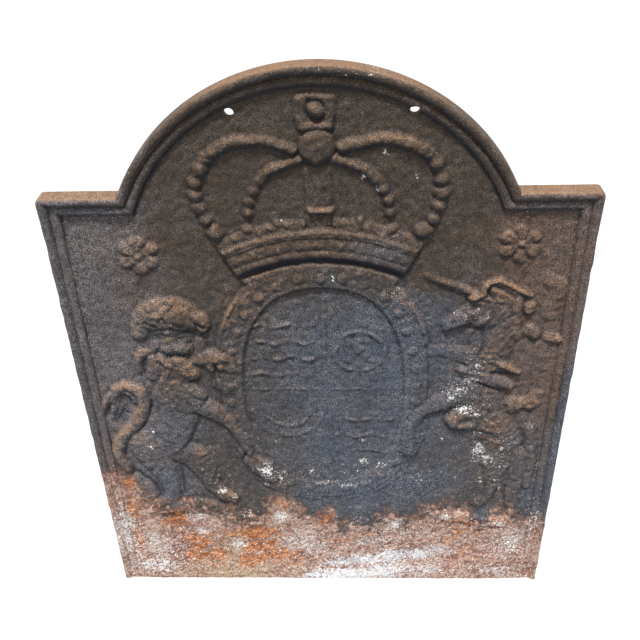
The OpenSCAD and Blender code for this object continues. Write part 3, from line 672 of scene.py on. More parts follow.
lionFace = {
    "ridges": [
        [(-178, 424, 20, 4.0), (-176, 412, 17, 4.6)],
        [(-181, 433, 7, 5.4), (-180, 424, 6, 6.0), (-176, 416, 6, 7.0)],
        [(-187, 412, 8, 6.2), (-179, 413, 9, 7.2), (-169, 413, 9, 7.2), (-161, 410, 7, 6.2)],
        [(-183, 397, 4, 4.6), (-175, 395, 5, 5.4), (-166, 398, 4, 4.6)],
    ],
    "grooves": [
        [(-196, 427, 2.4, 1.8), (-189, 426, 2.4, 1.8)], [(-169, 427, 2.4, 1.6), (-161, 427, 2.4, 1.8)],
        [(-155, 429, 1.4, 2.0), (-153, 422, 1.4, 1.8)],
        [(-189, 404, 1.5, 2.6), (-184, 401, 1.7, 4.0), (-176, 403, 1.7, 3.2), (-168, 400.5, 1.7, 4.0),
         (-161, 403, 1.6, 3.2), (-157, 410, 1.5, 2.2)],
        [(-181, 396, 1.4, 1.8), (-173, 393, 1.4, 2.6), (-164, 396, 1.4, 1.8)],
        [(-194, 414, 1.5, 1.6), (-189, 408, 1.5, 1.8)], [(-186, 419, 1.3, 1.4), (-180, 417, 1.3, 1.2)],
        [(-171, 419, 1.3, 1.4), (-166, 418, 1.3, 1.2)],
        [(-177, 413, 1.2, 1.4), (-176, 406, 1.2, 1.6)],
    ],
    "power": 0.6,
    "rough": 0.12,
    "hair": 0.10,
}
fields["lion_face"] = carve(lionFace)
lionChest = {
    "ridges": [
        [(-203, 396, 9, 5.2), (-204, 384, 10, 6.0), (-208, 371, 8, 5.2)],
        [(-190, 396, 10, 6.0), (-184, 388, 10, 6.6)],
        [(-176, 392, 11, 6.6), (-168, 383, 13, 7.4), (-160, 375, 12, 7.0), (-156, 371, 8, 6.2)],
        [(-197, 367, 6, 5.4), (-194, 352, 6, 6.0), (-191, 338, 4, 5.0)],
        [(-182, 362, 7, 6.0), (-180, 346, 6.5, 6.2), (-174, 330, 4, 5.2)],
        [(-171, 362, 6, 6.0), (-163, 349, 8, 6.8), (-153, 343, 8, 6.6), (-148, 340, 5, 5.8)],
    ],
    "grooves": [
        [(-182, 381, 1.8, 2.2), (-187, 373, 1.8, 3.0), (-193, 362, 1.6, 2.2)],
        [(-182, 379, 1.6, 1.8), (-176, 370, 1.6, 2.2), (-170, 362, 1.6, 2.4), (-158, 362, 1.6, 1.8),
         (-150, 366, 1.5, 1.4)],
        [(-212, 362, 1.5, 1.4), (-204, 361, 1.5, 1.6)],
        [(-171, 331, 1.6, 2.2), (-161, 326, 1.8, 3.2), (-150, 330, 1.7, 2.8), (-143, 338, 1.6, 2.0)],
        [(-190, 350, 1.4, 1.6), (-187, 336, 1.4, 1.4)], [(-201, 352, 1.4, 1.4), (-197, 340, 1.4, 1.2)],
    ],
    "power": 0.6,
    "rough": 0.20,
    "hair": 0.14,
}
fields["lion_chest_locks"] = carve(lionChest)
lionBody = {
    "ridges": [
        [(-186, 372, 24, 4.8), (-184, 345, 27, 5.6), (-188, 312, 29, 6.4), (-197, 288, 33, 6.6), (-206, 266, 31, 6.4)],
        [(-170, 345, 19, 6.0), (-172, 322, 18, 6.6)],
    ],
    "grooves": [
        [(-160, 309, 1.8, 2.4), (-158, 302, 2.0, 3.0), (-163, 286, 2.2, 2.8), (-172, 269, 2.2, 2.6),
         (-185, 255, 2.2, 2.6), (-199, 243, 2.0, 2.0)],
        [(-219, 292, 1.8, 0.6), (-214, 278, 2.0, 1.0), (-205, 266, 2.0, 1.1), (-193, 260, 1.8, 0.8)],
        [(-206, 330, 2.2, 1.2), (-209, 312, 2.2, 1.4)], [(-200, 297, 1.8, 1.0), (-192, 287, 1.8, 1.2)],
        [(-185, 318, 1.6, 1.2), (-172, 312, 1.6, 1.4)],
    ],
    "power": 0.62,
    "rough": 0.21,
}
fields["lion_body"] = carve(lionBody)
lionUpperForeleg = {
    "ridges": [
        [(-150, 392, 9, 3.8), (-140, 396, 12, 6.2), (-125, 398, 13, 7.0), (-113, 397, 12, 6.4)],
        [(-136, 388, 6.5, 6.6), (-134, 381, 5, 6.6)], [(-123, 388, 6.5, 7.0), (-121, 382, 5, 7.0)],
        [(-110, 388, 6.5, 6.6), (-108, 381, 5, 6.4)],
    ],
    "grooves": [
        [(-143, 379, 1.5, 2.6), (-134, 374, 1.7, 3.8), (-127, 379, 1.5, 3.4), (-120, 380, 1.6, 3.6),
         (-113, 376, 1.6, 3.6), (-104, 375, 1.5, 3.0)],
        [(-140, 390, 1.3, 1.4), (-131, 388, 1.3, 1.6), (-122, 391, 1.3, 1.4), (-112, 388, 1.3, 1.6)],
        [(-128, 387, 1.2, 1.4), (-128, 381, 1.2, 1.8)], [(-115, 387, 1.2, 1.4), (-115, 381, 1.2, 1.6)],
    ],
    "power": 0.6,
    "rough": 0.16,
    "hair": 0.12,
}
fields["lion_upper_foreleg"] = carve(lionUpperForeleg)
lionLowerForeleg = {
    "ridges": [
        [(-160, 326, 16, 6.8), (-140, 314, 15.5, 7.4), (-121, 299, 12.5, 7.2), (-108, 276, 9.5, 6.8),
         (-103, 253, 9, 6.6)],
        [(-108, 247, 6, 6.8), (-108, 242, 4.5, 6.4)], [(-99, 247, 6, 6.8), (-98, 242, 4.5, 6.4)],
        [(-130, 356, 7, 3.6), (-120, 356, 11, 5.2), (-112, 353, 8, 4.6)],
        [(-118, 330, 7, 4.2), (-108, 326, 7, 4.2)],
    ],
    "grooves": [
        [(-137, 344, 1.5, 1.8), (-129, 346, 1.5, 2.4), (-120, 343, 1.6, 2.8), (-108, 343, 1.5, 2.2)],
        [(-131, 362, 1.4, 1.6), (-130, 352, 1.4, 1.8)],
        [(-160, 308, 1.6, 2.2), (-150, 302, 1.9, 3.4), (-139, 298, 1.9, 3.2), (-127, 290, 1.9, 3.2),
         (-116, 272, 1.8, 2.8), (-111, 256, 1.6, 2.0)],
        [(-103, 251, 1.2, 1.8), (-103, 241, 1.2, 1.8)],
    ],
    "power": 0.55,
    "rough": 0.19,
}
fields["lion_lower_foreleg"] = carve(lionLowerForeleg)
lionNearHindLeg = {
    "ridges": [
        [(-229, 262, 27, 7.2), (-224, 238, 25, 7.4), (-215, 212, 18, 7.2), (-210, 188, 13, 6.8), (-208, 174, 11, 6.6),
         (-212, 160, 10, 6.4), (-226, 152, 9, 5.8), (-236, 149, 7, 5.4)],
        [(-251, 196, 10, 4.6), (-246, 182, 15, 5.0), (-243, 166, 13, 4.8)],
    ],
    "grooves": [
        [(-258, 219, 2.4, 2.4), (-245, 203, 2.4, 3.0), (-229, 186, 2.4, 3.2), (-225, 166, 2.2, 2.6)],
        [(-246, 216, 2.0, 1.6), (-232, 214, 2.0, 1.8), (-226, 220, 2.0, 1.4)],
        [(-238, 152, 1.3, 1.6), (-242, 147, 1.3, 1.6)], [(-230, 150, 1.3, 1.6), (-233, 144, 1.3, 1.6)],
    ],
    "power": 0.6,
    "rough": 0.23,
}
fields["lion_near_hind_leg"] = carve(lionNearHindLeg)
lionFarHindLeg = {
    "ridges": [
        [(-192, 247, 19, 5.8), (-172, 238, 21, 6.6), (-160, 214, 17, 6.6), (-154, 190, 13, 6.2), (-143, 172, 12, 6.2),
         (-128, 160, 10, 5.6)],
    ],
    "grooves": [
        [(-190, 218, 2.2, 2.4), (-190, 196, 2.2, 2.8), (-193, 172, 2.2, 2.4)],
        [(-130, 164, 1.3, 1.6), (-122, 156, 1.3, 1.6)], [(-138, 164, 1.3, 1.6), (-132, 154, 1.3, 1.6)],
    ],
    "power": 0.6,
    "rough": 0.23,
}
fields["lion_far_hind_leg"] = carve(lionFarHindLeg)
lionTail = {
    "ridges": [
        [(-262, 214, 7, 5.0), (-272, 240, 8, 6.4), (-264, 266, 9.5, 7.4), (-247, 288, 10.5, 7.8),
         (-231, 309, 9.5, 7.8), (-225, 330, 9, 7.4), (-229, 347, 8.5, 7.4), (-243, 355, 8, 7.6), (-257, 350, 7.5, 7.0)],
        [(-256, 347, 7, 5.8), (-264, 337, 7, 5.6), (-273, 325, 6, 5.0), (-279, 312, 4, 3.8)],
        [(-258, 338, 5, 4.2), (-261, 326, 5, 3.4), (-266, 312, 4, 2.6)],
        [(-246, 346, 4.5, 5.4), (-239, 342, 4.5, 5.4), (-235, 332, 3.5, 4.6)],
    ],
    "grooves": [
        [(-248, 322, 4.0, 2.0), (-256, 310, 6.0, 2.8), (-266, 301, 4.0, 2.2)],
        [(-262, 342, 1.4, 1.8), (-268, 328, 1.4, 2.0), (-272, 316, 1.4, 1.8)],
        [(-256, 334, 1.5, 1.8), (-262, 321, 1.5, 1.8)],
    ],
    "power": 0.6,
    "rough": 0.19,
}
fields["lion_tail"] = carve(lionTail)
print("lion shaped")

# unicorn

unicornHorn = {
    "ridges": [[(176, 485, 6.4, 5.0), (150, 496, 5.2, 4.4), (120, 508, 3.8, 3.0)]],
    "grooves": [[(118, 501, 1.5, 1.6), (140, 492, 1.7, 2.2), (162, 482, 1.7, 2.4), (168, 479, 1.5, 1.8)]],
    "power": 0.7,
}
hornTwist = zip(range(126, 178, 9), (506, 502.5, 498.5, 495, 491, 487.5))  # where the twist's grooves cross the horn
unicornHorn["grooves"] += [[(x - 2.5, z - 6.0, 1.1, 0.7), (x + 3.5, z + 6.0, 1.1, 0.7)] for x, z in hornTwist]
fields["unicorn_horn"] = carve(unicornHorn)
unicornHead = {
    "ridges": [
        [(190, 474, 15, 6.6), (178, 464, 14, 7.0), (162, 452, 11.5, 6.6), (150, 444, 9.5, 6.4)],
        [(190, 456, 16, 7.2), (186, 449, 12, 7.2)],
        [(172, 479, 5, 7.4), (181, 484, 4.5, 7.8)],
        [(185, 486, 5, 7.8), (187, 494, 5, 7.6), (190, 500, 3.5, 6.2)],
        [(147, 443, 7, 7.0), (145, 439, 5, 6.4)],
    ],
    "grooves": [
        [(140, 433, 1.9, 3.4), (149, 434, 2.1, 4.2), (156, 437, 1.9, 3.6), (166, 440, 1.9, 3.2)],
        [(168, 440, 1.9, 3.4), (180, 438, 2.1, 4.4), (192, 437, 2.1, 4.2), (202, 443, 1.9, 2.8)],
        [(172, 468, 2.8, 2.4), (178, 471, 2.8, 2.6)],
        [(182, 478, 1.8, 2.4), (192, 474, 1.8, 2.0)],
        [(151, 448, 1.6, 2.0), (154, 450, 1.6, 2.0)],
        [(189, 492, 1.8, 3.4), (191, 485, 1.8, 3.6), (196, 480, 1.6, 2.4)],
        [(160, 462, 1.8, 1.4), (170, 458, 1.8, 1.6), (178, 448, 1.8, 1.4)],
    ],
    "power": 0.6,
    "rough": 0.15,
    "hair": 0.12,
}
fields["unicorn_head"] = carve(unicornHead)
unicornMane = {
    "ridges": [
        [(190, 499, 3.4, 5.4), (202, 500, 3.8, 5.8), (214, 494, 4.0, 5.8), (226, 487, 3.6, 5.0), (237, 482, 2.6, 3.6)],
        [(201, 489, 11, 5.6), (212, 481, 12, 5.6), (221, 470, 12, 5.2), (225, 455, 10, 4.8), (224, 438, 9, 4.4),
         (229, 426, 7, 4.0)],
        [(238, 466, 8, 5.4), (238, 461, 8.5, 5.8)],
        [(243, 432, 9, 4.6), (249, 428, 8, 4.6)],
        [(260, 500, 11, 2.8), (268, 492, 11, 2.8), (264, 474, 11, 2.6), (262, 456, 10, 2.4)],
        [(266, 426, 7, 3.2), (276, 420, 7, 4.4), (282, 418, 4, 3.6)],
    ],
    "grooves": [
        [(231, 459, 2.0, 2.6), (237, 453, 2.2, 4.0), (245, 458, 2.0, 2.8)],
        [(242, 425, 1.8, 2.2), (249, 420, 2.0, 2.8), (257, 422, 1.8, 2.0)],
        [(199, 494, 1.6, 2.4), (212, 487, 1.6, 2.4), (222, 480, 1.6, 2.0)],
        [(232, 476, 1.8, 1.6), (230, 448, 1.8, 1.6), (233, 436, 1.8, 1.4)],
        [(216, 470, 1.6, 1.4), (219, 452, 1.6, 1.4), (217, 438, 1.6, 1.4)],
    ],
    "power": 0.65,
    "rough": 0.20,
    "hair": 0.14,
}
fields["unicorn_mane"] = carve(unicornMane)
unicornNeck = {
    "ridges": [[(206, 478, 16, 5.4), (209, 452, 20, 5.6), (203, 424, 24, 5.6), (196, 400, 26, 6.2)]],
    "grooves": [
        [(186, 430, 2.4, 1.2), (190, 414, 2.4, 1.4), (184, 400, 2.4, 1.2)],
        [(214, 424, 2.4, 1.0), (220, 408, 2.4, 1.2)],
    ],
    "power": 0.6,
    "rough": 0.28,
    "hair": 0.2,
}
fields["unicorn_neck"] = carve(unicornNeck)
unicornBody = {
    "ridges": [
        [(190, 384, 29, 6.0), (191, 350, 29, 6.6), (200, 316, 27, 7.0), (215, 287, 27, 7.0), (227, 257, 25, 6.8)],
        [(196, 394, 6, 5.8), (210, 388, 8, 6.8), (224, 380, 7, 6.2), (236, 373, 4, 4.6)],
        [(166, 377, 5, 5.8), (182, 373, 8, 6.8), (200, 366, 11, 7.4), (216, 359, 9, 6.8), (228, 354, 5, 5.2)],
        [(232, 322, 15, 5.6), (250, 324, 12, 4.6), (262, 326, 9, 3.6)],
        [(200, 300, 9, 7.2), (210, 294, 9, 7.4), (222, 286, 6, 6.4)],
        [(262, 338, 9, 3.8), (256, 328, 9, 4.4)],
    ],
    "grooves": [
        [(202, 374, 1.8, 2.6), (218, 371, 2.0, 3.2), (236, 368, 1.8, 2.6)],
        [(164, 366, 1.8, 1.6), (182, 360, 1.9, 3.0), (200, 353, 2.1, 4.0), (212, 348, 2.1, 4.0), (224, 347, 1.8, 2.8)],
        [(240, 313, 1.8, 2.4), (249, 315, 2.0, 3.8), (259, 308, 1.8, 2.8)],
        [(164, 392, 1.6, 2.0), (172, 384, 1.6, 2.2)],
        [(192, 280, 2.2, 1.4), (204, 279, 2.2, 2.0), (216, 274, 2.2, 1.6)],
        [(194, 340, 2.2, 1.2), (196, 322, 2.2, 1.4), (206, 312, 2.2, 1.2)],
    ],
    "power": 0.75,
    "rough": 0.30,
    "hair": 0.22,
}
fields["unicorn_body"] = carve(unicornBody)
unicornRaisedForeleg = {
    "ridges": [
        [(174, 398, 12, 4.4), (152, 404, 10, 2.4), (130, 404, 8, 2.0), (117, 400, 7, 2.2)],
        [(114, 400, 6.5, 2.6), (107, 396, 5, 2.4)],
    ],
    "grooves": [
        [(102, 391, 1.5, 0.8), (112, 392, 1.6, 1.0), (124, 394, 1.5, 0.6)],
        [(118, 408, 1.3, 0.4), (116, 394, 1.3, 0.4)],
    ],
    "power": 0.5,
    "rough": 0.25,
}
fields["unicorn_raised_foreleg"] = carve(unicornRaisedForeleg)
unicornLongForeleg = {
    "ridges": [
        [(172, 338, 16, 6.4), (148, 328, 14, 6.4), (128, 318, 11, 6.2), (112, 296, 8.5, 6.0), (107, 268, 8.0, 6.0)],
        [(108, 260, 9.5, 6.6), (110, 247, 10.5, 7.0)],
    ],
    "grooves": [
        [(100, 256, 1.4, 1.6), (109, 254, 1.4, 1.8), (119, 256, 1.4, 1.6)],
        [(148, 314, 2.0, 2.0), (132, 308, 2.0, 2.4), (121, 292, 2.0, 2.0)],
    ],
    "power": 0.55,
    "rough": 0.23,
}
fields["unicorn_long_foreleg"] = carve(unicornLongForeleg)
unicornBentForeleg = {
    "ridges": [[(180, 310, 14, 6.0), (165, 300, 12, 6.6), (168, 292, 11, 6.4), (184, 290, 11, 6.0)]],
    "grooves": [[(154, 292, 1.7, 2.4), (163, 279, 1.9, 3.2), (180, 277, 1.7, 2.6)]],
    "power": 0.75,
    "rough": 0.25,
}
fields["unicorn_bent_foreleg"] = carve(unicornBentForeleg)
unicornNearHindLeg = {
    "ridges": [
        [(225, 237, 23, 7.0), (222, 207, 14, 6.2), (221, 182, 9.5, 5.4), (214, 161, 8, 5.2), (204, 151, 8, 5.0)],
    ],
    "grooves": [[(200, 158, 1.4, 1.2), (208, 154, 1.4, 1.2)]],
    "power": 0.55,
    "rough": 0.25,
}
fields["unicorn_near_hind_leg"] = carve(unicornNearHindLeg)
unicornFarHindLeg = {
    "ridges": [[(247, 236, 18, 5.8), (254, 206, 13, 5.2), (250, 177, 10, 5.0), (250, 152, 9, 4.8), (254, 134, 9, 4.6)]],
    "grooves": [[(246, 142, 1.4, 1.2), (256, 140, 1.4, 1.2)]],
    "power": 0.55,
    "rough": 0.25,
}
fields["unicorn_far_hind_leg"] = carve(unicornFarHindLeg)
unicornTail = {
    "ridges": [
        [(259, 286, 6.5, 4.0), (265, 250, 7.5, 4.4), (265, 216, 7.5, 4.2), (267, 184, 6, 3.6)],
        [(262, 262, 4, 4.8), (268, 232, 4, 4.8), (262, 204, 3.5, 4.2)],
    ],
    "power": 0.5,
    "rough": 0.25,
}
fields["unicorn_tail"] = carve(unicornTail)
print("unicorn shaped")

# ground and rosettes

leftGround = {
    "ridges": [
        [(-240, 134, 7, 3.6), (-213, 143, 11, 5.2), (-180, 147, 13, 5.4), (-150, 138, 12, 5.2), (-121, 120, 9, 4.6),
         (-92, 113, 7, 3.6)],
    ],
    "grooves": [
        [(-222, 138, 1.8, 1.2), (-210, 128, 1.8, 1.0)], [(-190, 140, 1.8, 1.2), (-182, 130, 1.8, 1.0)],
        [(-160, 138, 1.8, 1.2), (-150, 126, 1.8, 1.0)],
    ],
    "power": 0.4,
    "rough": 0.29,
}
fields["left_ground"] = carve(leftGround)
rightGround = {
    "ridges": [[(150, 128, 8, 2.8), (180, 122, 10, 3.5), (215, 114, 9, 3.5), (245, 110, 8, 2.9)]],
    "grooves": [[(170, 126, 1.8, 1.0), (176, 116, 1.8, 0.9)], [(204, 118, 1.8, 1.0), (210, 108, 1.8, 0.9)]],
    "power": 0.4,
    "rough": 0.29,
}
fields["right_ground"] = carve(rightGround)
rosettes = {
    "left_rosette": (-200.0, 537.3),
    "right_rosette": (219.0, 547.3),
    "petals": 6,
    "petal": [(11, 6.5, 3.4), (16, 8.6, 4.2)],  # distance from the middle, half width, height or depth
    "vein": [(10, 1.3, 0.9), (21, 1.3, 0.7)],
    "boss": (6.5, 4.6),
}


def rays(x, z, rows):
    # the same stroke at even angles round a point, each row of it at its own distance
    angles = 2 * np.pi * np.arange(rosettes["petals"]) / rosettes["petals"]
    return [[(x + r * math.sin(a), z + r * math.cos(a), half, rise) for r, half, rise in rows] for a in angles]


def rosette(x, z):
    # petals round a boss, each with a shallow groove down its middle
    petals = ridge(rays(x, z, rosettes["petal"]), power=0.55, slope=0.9) - groove(rays(x, z, rosettes["vein"]))
    return np.maximum(petals, ridge([[(x, z, *rosettes["boss"])]], slope=0.9))


for name in ("left_rosette", "right_rosette"):
    fields[name] = rosette(*rosettes[name])
print("ground and rosettes shaped")

# the finished surface

casting = {
    "surroundings": -0.9,  # a piece takes over from the plate where its own height passes this
    "border": -1.7,  # and ends where its own height passes this
    "dip": 1.5,  # how fast a piece dips below the surface where another one carries it
    "floor": -3.6,  # the underside of each raised piece, inside the plate
    "thinnest": 0.4,
    "highest": 9.9,
    "waves": 0.40,
    "lumps": 0.30,
    "pits": 0.055,
    "burntPits": 0.26,
    "wornCarving": 0.11,
    "burntSpan": (175, 70),  # heights between which the burnt foot begins
    "burntWander": 14.0,
    "footLevel": 0.3,  # the share of the surface's height that is left at the standing edge, which is straight
    "footSpan": 12.0,
    "swelling": (66.0, 6.6),  # the burnt foot stands proud: from this height down, by this much
    "swellingWander": 4.0,
}
highest = np.max(np.stack(list(fields.values())), axis=0)
burnt = ease(*casting["burntSpan"], gridZ + casting["burntWander"] * bandNoise(3, 120, 30))
surface = blur(np.maximum(highest, 0), sculpt["wear"])
surface += casting["wornCarving"] * bandNoise(14, 14, 5) * ease(0.5, 3.5, surface)
surface += casting["waves"] * bandNoise(11, 150, 60) + casting["lumps"] * bandNoise(12, 34, 11)
surface += (casting["pits"] + casting["burntPits"] * burnt) * bandNoise(13, 10, 4)
surface *= casting["footLevel"] + (1 - casting["footLevel"]) * ease(0, casting["footSpan"], gridZ)
swellingTop, swellingRise = casting["swelling"]
swellingLine = gridZ + casting["swellingWander"] * bandNoise(16, 160, 50) * ease(0, 30, gridZ)
surface += swellingRise * ease(swellingTop, -8, swellingLine)
surface = np.minimum(surface, casting["highest"])
slopeZ, slopeX = np.gradient(surface, sculpt["step"])
covering = np.maximum(highest, casting["surroundings"])
print("surface finished, from", round(float(surface.min()), 2), "to", round(float(surface.max()), 2))

# patina and painted shade, from 0 to 1 over the field

patina = {
    "whiteSpots": [  # x, z, half width, half height, strength
        (176, 318, 18, 12, 0.95), (158, 336, 10, 12, 0.95), (188, 311, 9, 7, 0.95), (180, 364, 11, 6, 0.95),
        (186, 385, 13, 18, 0.65), (168, 350, 28, 26, 0.62), (178, 400, 10, 12, 0.5), (196, 335, 20, 22, 0.45),
        (190, 280, 12, 20, 0.5), (198, 248, 10, 14, 1.0), (208, 237, 14, 6, 0.95), (150, 265, 3, 2.4, 1.2),
        (205, 232, 24, 12, 0.5), (232, 222, 14, 10, 0.5), (175, 460, 34, 16, 0.42), (230, 262, 22, 30, 0.4),
        (-77, 215, 9, 14, 0.95), (-88, 219, 8, 5, 0.8), (-70, 200, 24, 16, 0.45), (50, 226, 9, 7, 0.8),
        (70, 222, 26, 6, 0.5), (-60, 195, 4, 9, 0.8), (30, 185, 16, 5, 0.7), (0, 188, 16, 6, 0.5),
        (-18, 208, 4, 8, 0.8),
        (-140, 176, 7, 5, 1.0), (-125, 164, 5, 4, 0.7), (161, 124, 8, 7, 0.9), (217, 107, 7, 5, 0.8),
        (238, 110, 8, 6, 0.7), (95, 106, 8, 10, 0.8), (-62, 122, 12, 12, 0.7), (-110, 130, 8, 6, 0.4),
        (-183, 124, 13, 12, 0.28), (-175, 92, 10, 12, 0.26), (-150, 124, 14, 10, 0.30), (-248, 74, 20, 22, 0.22),
        (-252, 25, 30, 13, 0.30), (-280, 116, 12, 26, 0.44), (-262, 168, 8, 10, 0.4), (-240, 296, 8, 16, 0.26),
        (-264, 262, 9, 18, 0.28), (-128, 66, 11, 9, 0.32),
        (60, 738, 50, 5, 0.5), (150, 686, 40, 30, 0.2), (-284, 110, 20, 70, 0.36), (-40, 85, 30, 30, 0.22),
        (100, 90, 60, 20, 0.22), (250, 70, 24, 30, 0.25), (30, 8, 50, 9, 0.5), (85, 22, 26, 14, 0.35),
        (70, 655, 4, 4, 1.1), (49, 628, 2.6, 5, 1.2), (63, 614, 3, 3, 1.0), (105, 625, 3, 8, 0.6),
        (60, 560, 40, 14, 0.2), (15, 508, 3, 8, 0.9), (90, 480, 22, 26, 0.36), (-225, 258, 4, 5, 0.9),
        (-219, 283, 2, 2, 1.1),
        (205, 195, 2.2, 14, 0.7), (231, 180, 2.6, 11, 0.8), (222, 199, 3, 3, 0.8), (50, 262, 6, 6, 0.6),
        (-60, 262, 5, 4, 0.6), (277, 220, 3, 4, 0.8), (-36, 579, 5, 4, 0.5), (150, 550, 2.5, 30, 0.35),
        (-292, 335, 7, 5, 0.6), (120, 190, 60, 26, 0.30), (10, 205, 90, 22, 0.26), (-150, 205, 30, 26, 0.22),
        (284, 120, 8, 30, 0.45),
    ],
    "blueSpots": [  # smaller places that the fire turned blue
        (-200, 285, 48, 44, 0.75), (-212, 192, 36, 36, 1.0), (-256, 311, 20, 20, 1.0), (-190, 420, 50, 26, 0.3),
        (-212, 378, 14, 14, 0.6),
        (276, 166, 14, 30, 1.0), (213, 132, 14, 18, 0.9), (65, 540, 34, 18, 0.7), (205, 360, 26, 12, 0.7),
        (212, 130, 14, 16, 0.9), (170, 440, 30, 10, 0.5), (-297, 420, 6, 170, 0.6), (296, 300, 7, 190, 1.0),
        (-250, 594, 50, 12, 0.9), (250, 594, 50, 12, 0.8),
    ],
    "warmSpots": [  # where rubbed tan rust shows on raised metal, as wear and as painted highlight on faces turned up, and gold in the burnt foot
        (-178, 470, 38, 16, 0.85), (-140, 452, 12, 14, 0.85), (-214, 440, 12, 12, 0.6), (-182, 428, 9, 7, 0.6),
        (-178, 384, 34, 22, 1.2), (-215, 402, 12, 16, 0.7), (-190, 345, 10, 16, 0.5), (-122, 394, 22, 10, 1.0),
        (-240, 354, 28, 12, 0.9), (-232, 312, 12, 20, 1.1), (-252, 282, 20, 22, 1.2), (-270, 250, 14, 30, 1.2),
        (-262, 325, 18, 8, 0.8),
        (-225, 265, 22, 25, 0.4), (-155, 246, 16, 10, 0.7), (-120, 300, 22, 30, 0.45), (-128, 166, 26, 16, 1.0),
        (-80, 235, 20, 10, 0.5),
        (-140, 14, 70, 20, 1.0), (-128, 56, 44, 26, 0.75), (-56, 22, 30, 14, 0.5), (-242, 174, 14, 20, 0.9),
        (-92, 140, 26, 12, 0.7), (-60, 118, 22, 18, 0.7), (75, 205, 24, 10, 0.5), (-55, 205, 30, 16, 0.4),
        (207, 200, 6, 18, 0.7), (165, 165, 50, 18, 0.35), (232, 160, 14, 18, 0.5),
        (-80, 670, 50, 11, 0.16), (75, 670, 45, 11, 0.40), (45, 650, 25, 10, 0.4), (-40, 642, 22, 10, 0.35),
        (-125, 610, 14, 50, 0.10), (1, 672, 18, 8, 0.2),
        (-80, 548, 45, 26, 0.26), (10, 548, 50, 20, 0.22), (60, 560, 70, 12, 0.25), (4, 594, 14, 4, 0.6),
        (0, 700, 22, 20, 0.12),
        (-70, 480, 50, 40, 0.5), (0, 512, 60, 12, 0.3), (-108, 465, 12, 28, 1.1), (-115, 395, 18, 14, 0.8),
        (100, 480, 24, 26, 0.5), (-60, 430, 30, 20, 0.3),
        (-200, 545, 26, 26, 0.8), (219, 555, 26, 24, 0.8),
        (208, 492, 32, 14, 1.2), (178, 483, 12, 8, 1.2), (226, 460, 12, 40, 0.4), (238, 468, 10, 8, 0.8),
        (278, 420, 14, 8, 1.0), (265, 490, 22, 30, 0.4),
        (218, 382, 22, 9, 1.0), (195, 400, 14, 14, 0.6), (255, 325, 20, 14, 0.8), (165, 300, 18, 12, 1.0),
        (208, 292, 22, 14, 0.9), (215, 266, 16, 10, 0.8),
        (150, 498, 32, 14, 0.10), (185, 450, 26, 16, 0.15),
    ],
    "rustTop": [  # x, z: where the burnt zone begins
        (-300, 218), (-262, 204), (-240, 160), (-212, 140), (-187, 152), (-150, 138), (-121, 120), (-92, 128),
        (-66, 168), (-40, 140), (-20, 122), (8, 128), (20, 98), (60, 100), (90, 128), (110, 108), (150, 142),
        (190, 142), (213, 104), (232, 132), (252, 150), (262, 112), (284, 118), (292, 140), (300, 120),
    ],
    "orangePatches": [
        (-212, 117, 17, 21, 1.0), (-186, 74, 18, 24, 1.0), (-192, 42, 20, 15, 0.9), (-104, 88, 40, 13, 1.08),
        (-162, 44, 25, 15, 0.88), (-96, 60, 29, 19, 0.95), (-64, 44, 29, 16, 0.92), (-104, 34, 27, 14, 0.82),
        (-268, 78, 9, 22, 0.8), (-266, 190, 11, 15, 0.85), (-270, 140, 10, 22, 0.75), (-2, 118, 15, 12, 0.85),
        (20, 74, 24, 12, 0.5), (180, 82, 36, 18, 0.42), (196, 106, 26, 14, 0.42), (50, 84, 40, 14, 0.34),
        (-60, 146, 12, 14, 0.5), (200, 55, 40, 22, 0.3),
    ],
    "paleStreaks": [
        (18, 30, 26, 9, 0.7), (54, 36, 26, 10, 0.75), (92, 44, 24, 12, 0.85), (126, 46, 26, 10, 0.75),
        (156, 56, 20, 9, 0.5), (20, 8, 50, 10, 0.95), (76, 12, 40, 12, 0.7), (130, 16, 40, 12, 0.4),
        (-183, 122, 15, 13, 0.30), (-128, 68, 13, 11, 0.4), (-250, 74, 24, 24, 0.26), (-250, 25, 34, 14, 0.32),
        (-178, 92, 12, 12, 0.30), (-285, 110, 14, 60, 0.3), (240, 14, 40, 12, 0.3), (262, 76, 14, 24, 0.3),
        (-66, 120, 14, 14, 0.2), (60, 70, 40, 12, 0.25), (-14, 62, 44, 18, 0.26), (-232, 52, 30, 14, 0.18),
    ],
}
zones = {  # where along x or z, or over a height, each patina and each painted shade begins and where it is full
    "limeLow": (190, 60),
    "limeMiddle": (330, 200),
    "rust": (34, -40),
    "rustPatchy": (60, 0),
    "blueTop": (560, 430),
    "blueFoot": (60, 170),
    "blueEdge": (-2, 40),
    "blueRight": (200, 250),
    "blueRightTop": (340, 270),
    "blueLower": (520, 400),
    "blueLowerEdge": (0, 30),
    "bloomLeft": (-140, -258),
    "bloomFoot": (90, 190),
    "bloomRight": (225, 290),
    "bloomRightFoot": (300, 560),
    "bloomMottled": (-120, -220),
    "ruddyRight": (150, 262),
    "ruddyFoot": (90, 220),
    "ruddyTop": (640, 560),
    "ruddyStripEdge": (284, 292),
    "ruddyStripTop": (420, 360),
    "ruddyLower": (250, 360),
    "facingDown": (-0.25, 0.1),
    "sootAbove": (120, 150),
    "circletEnd": (-3, 2),
    "mouldingTop": (540, 575),
}
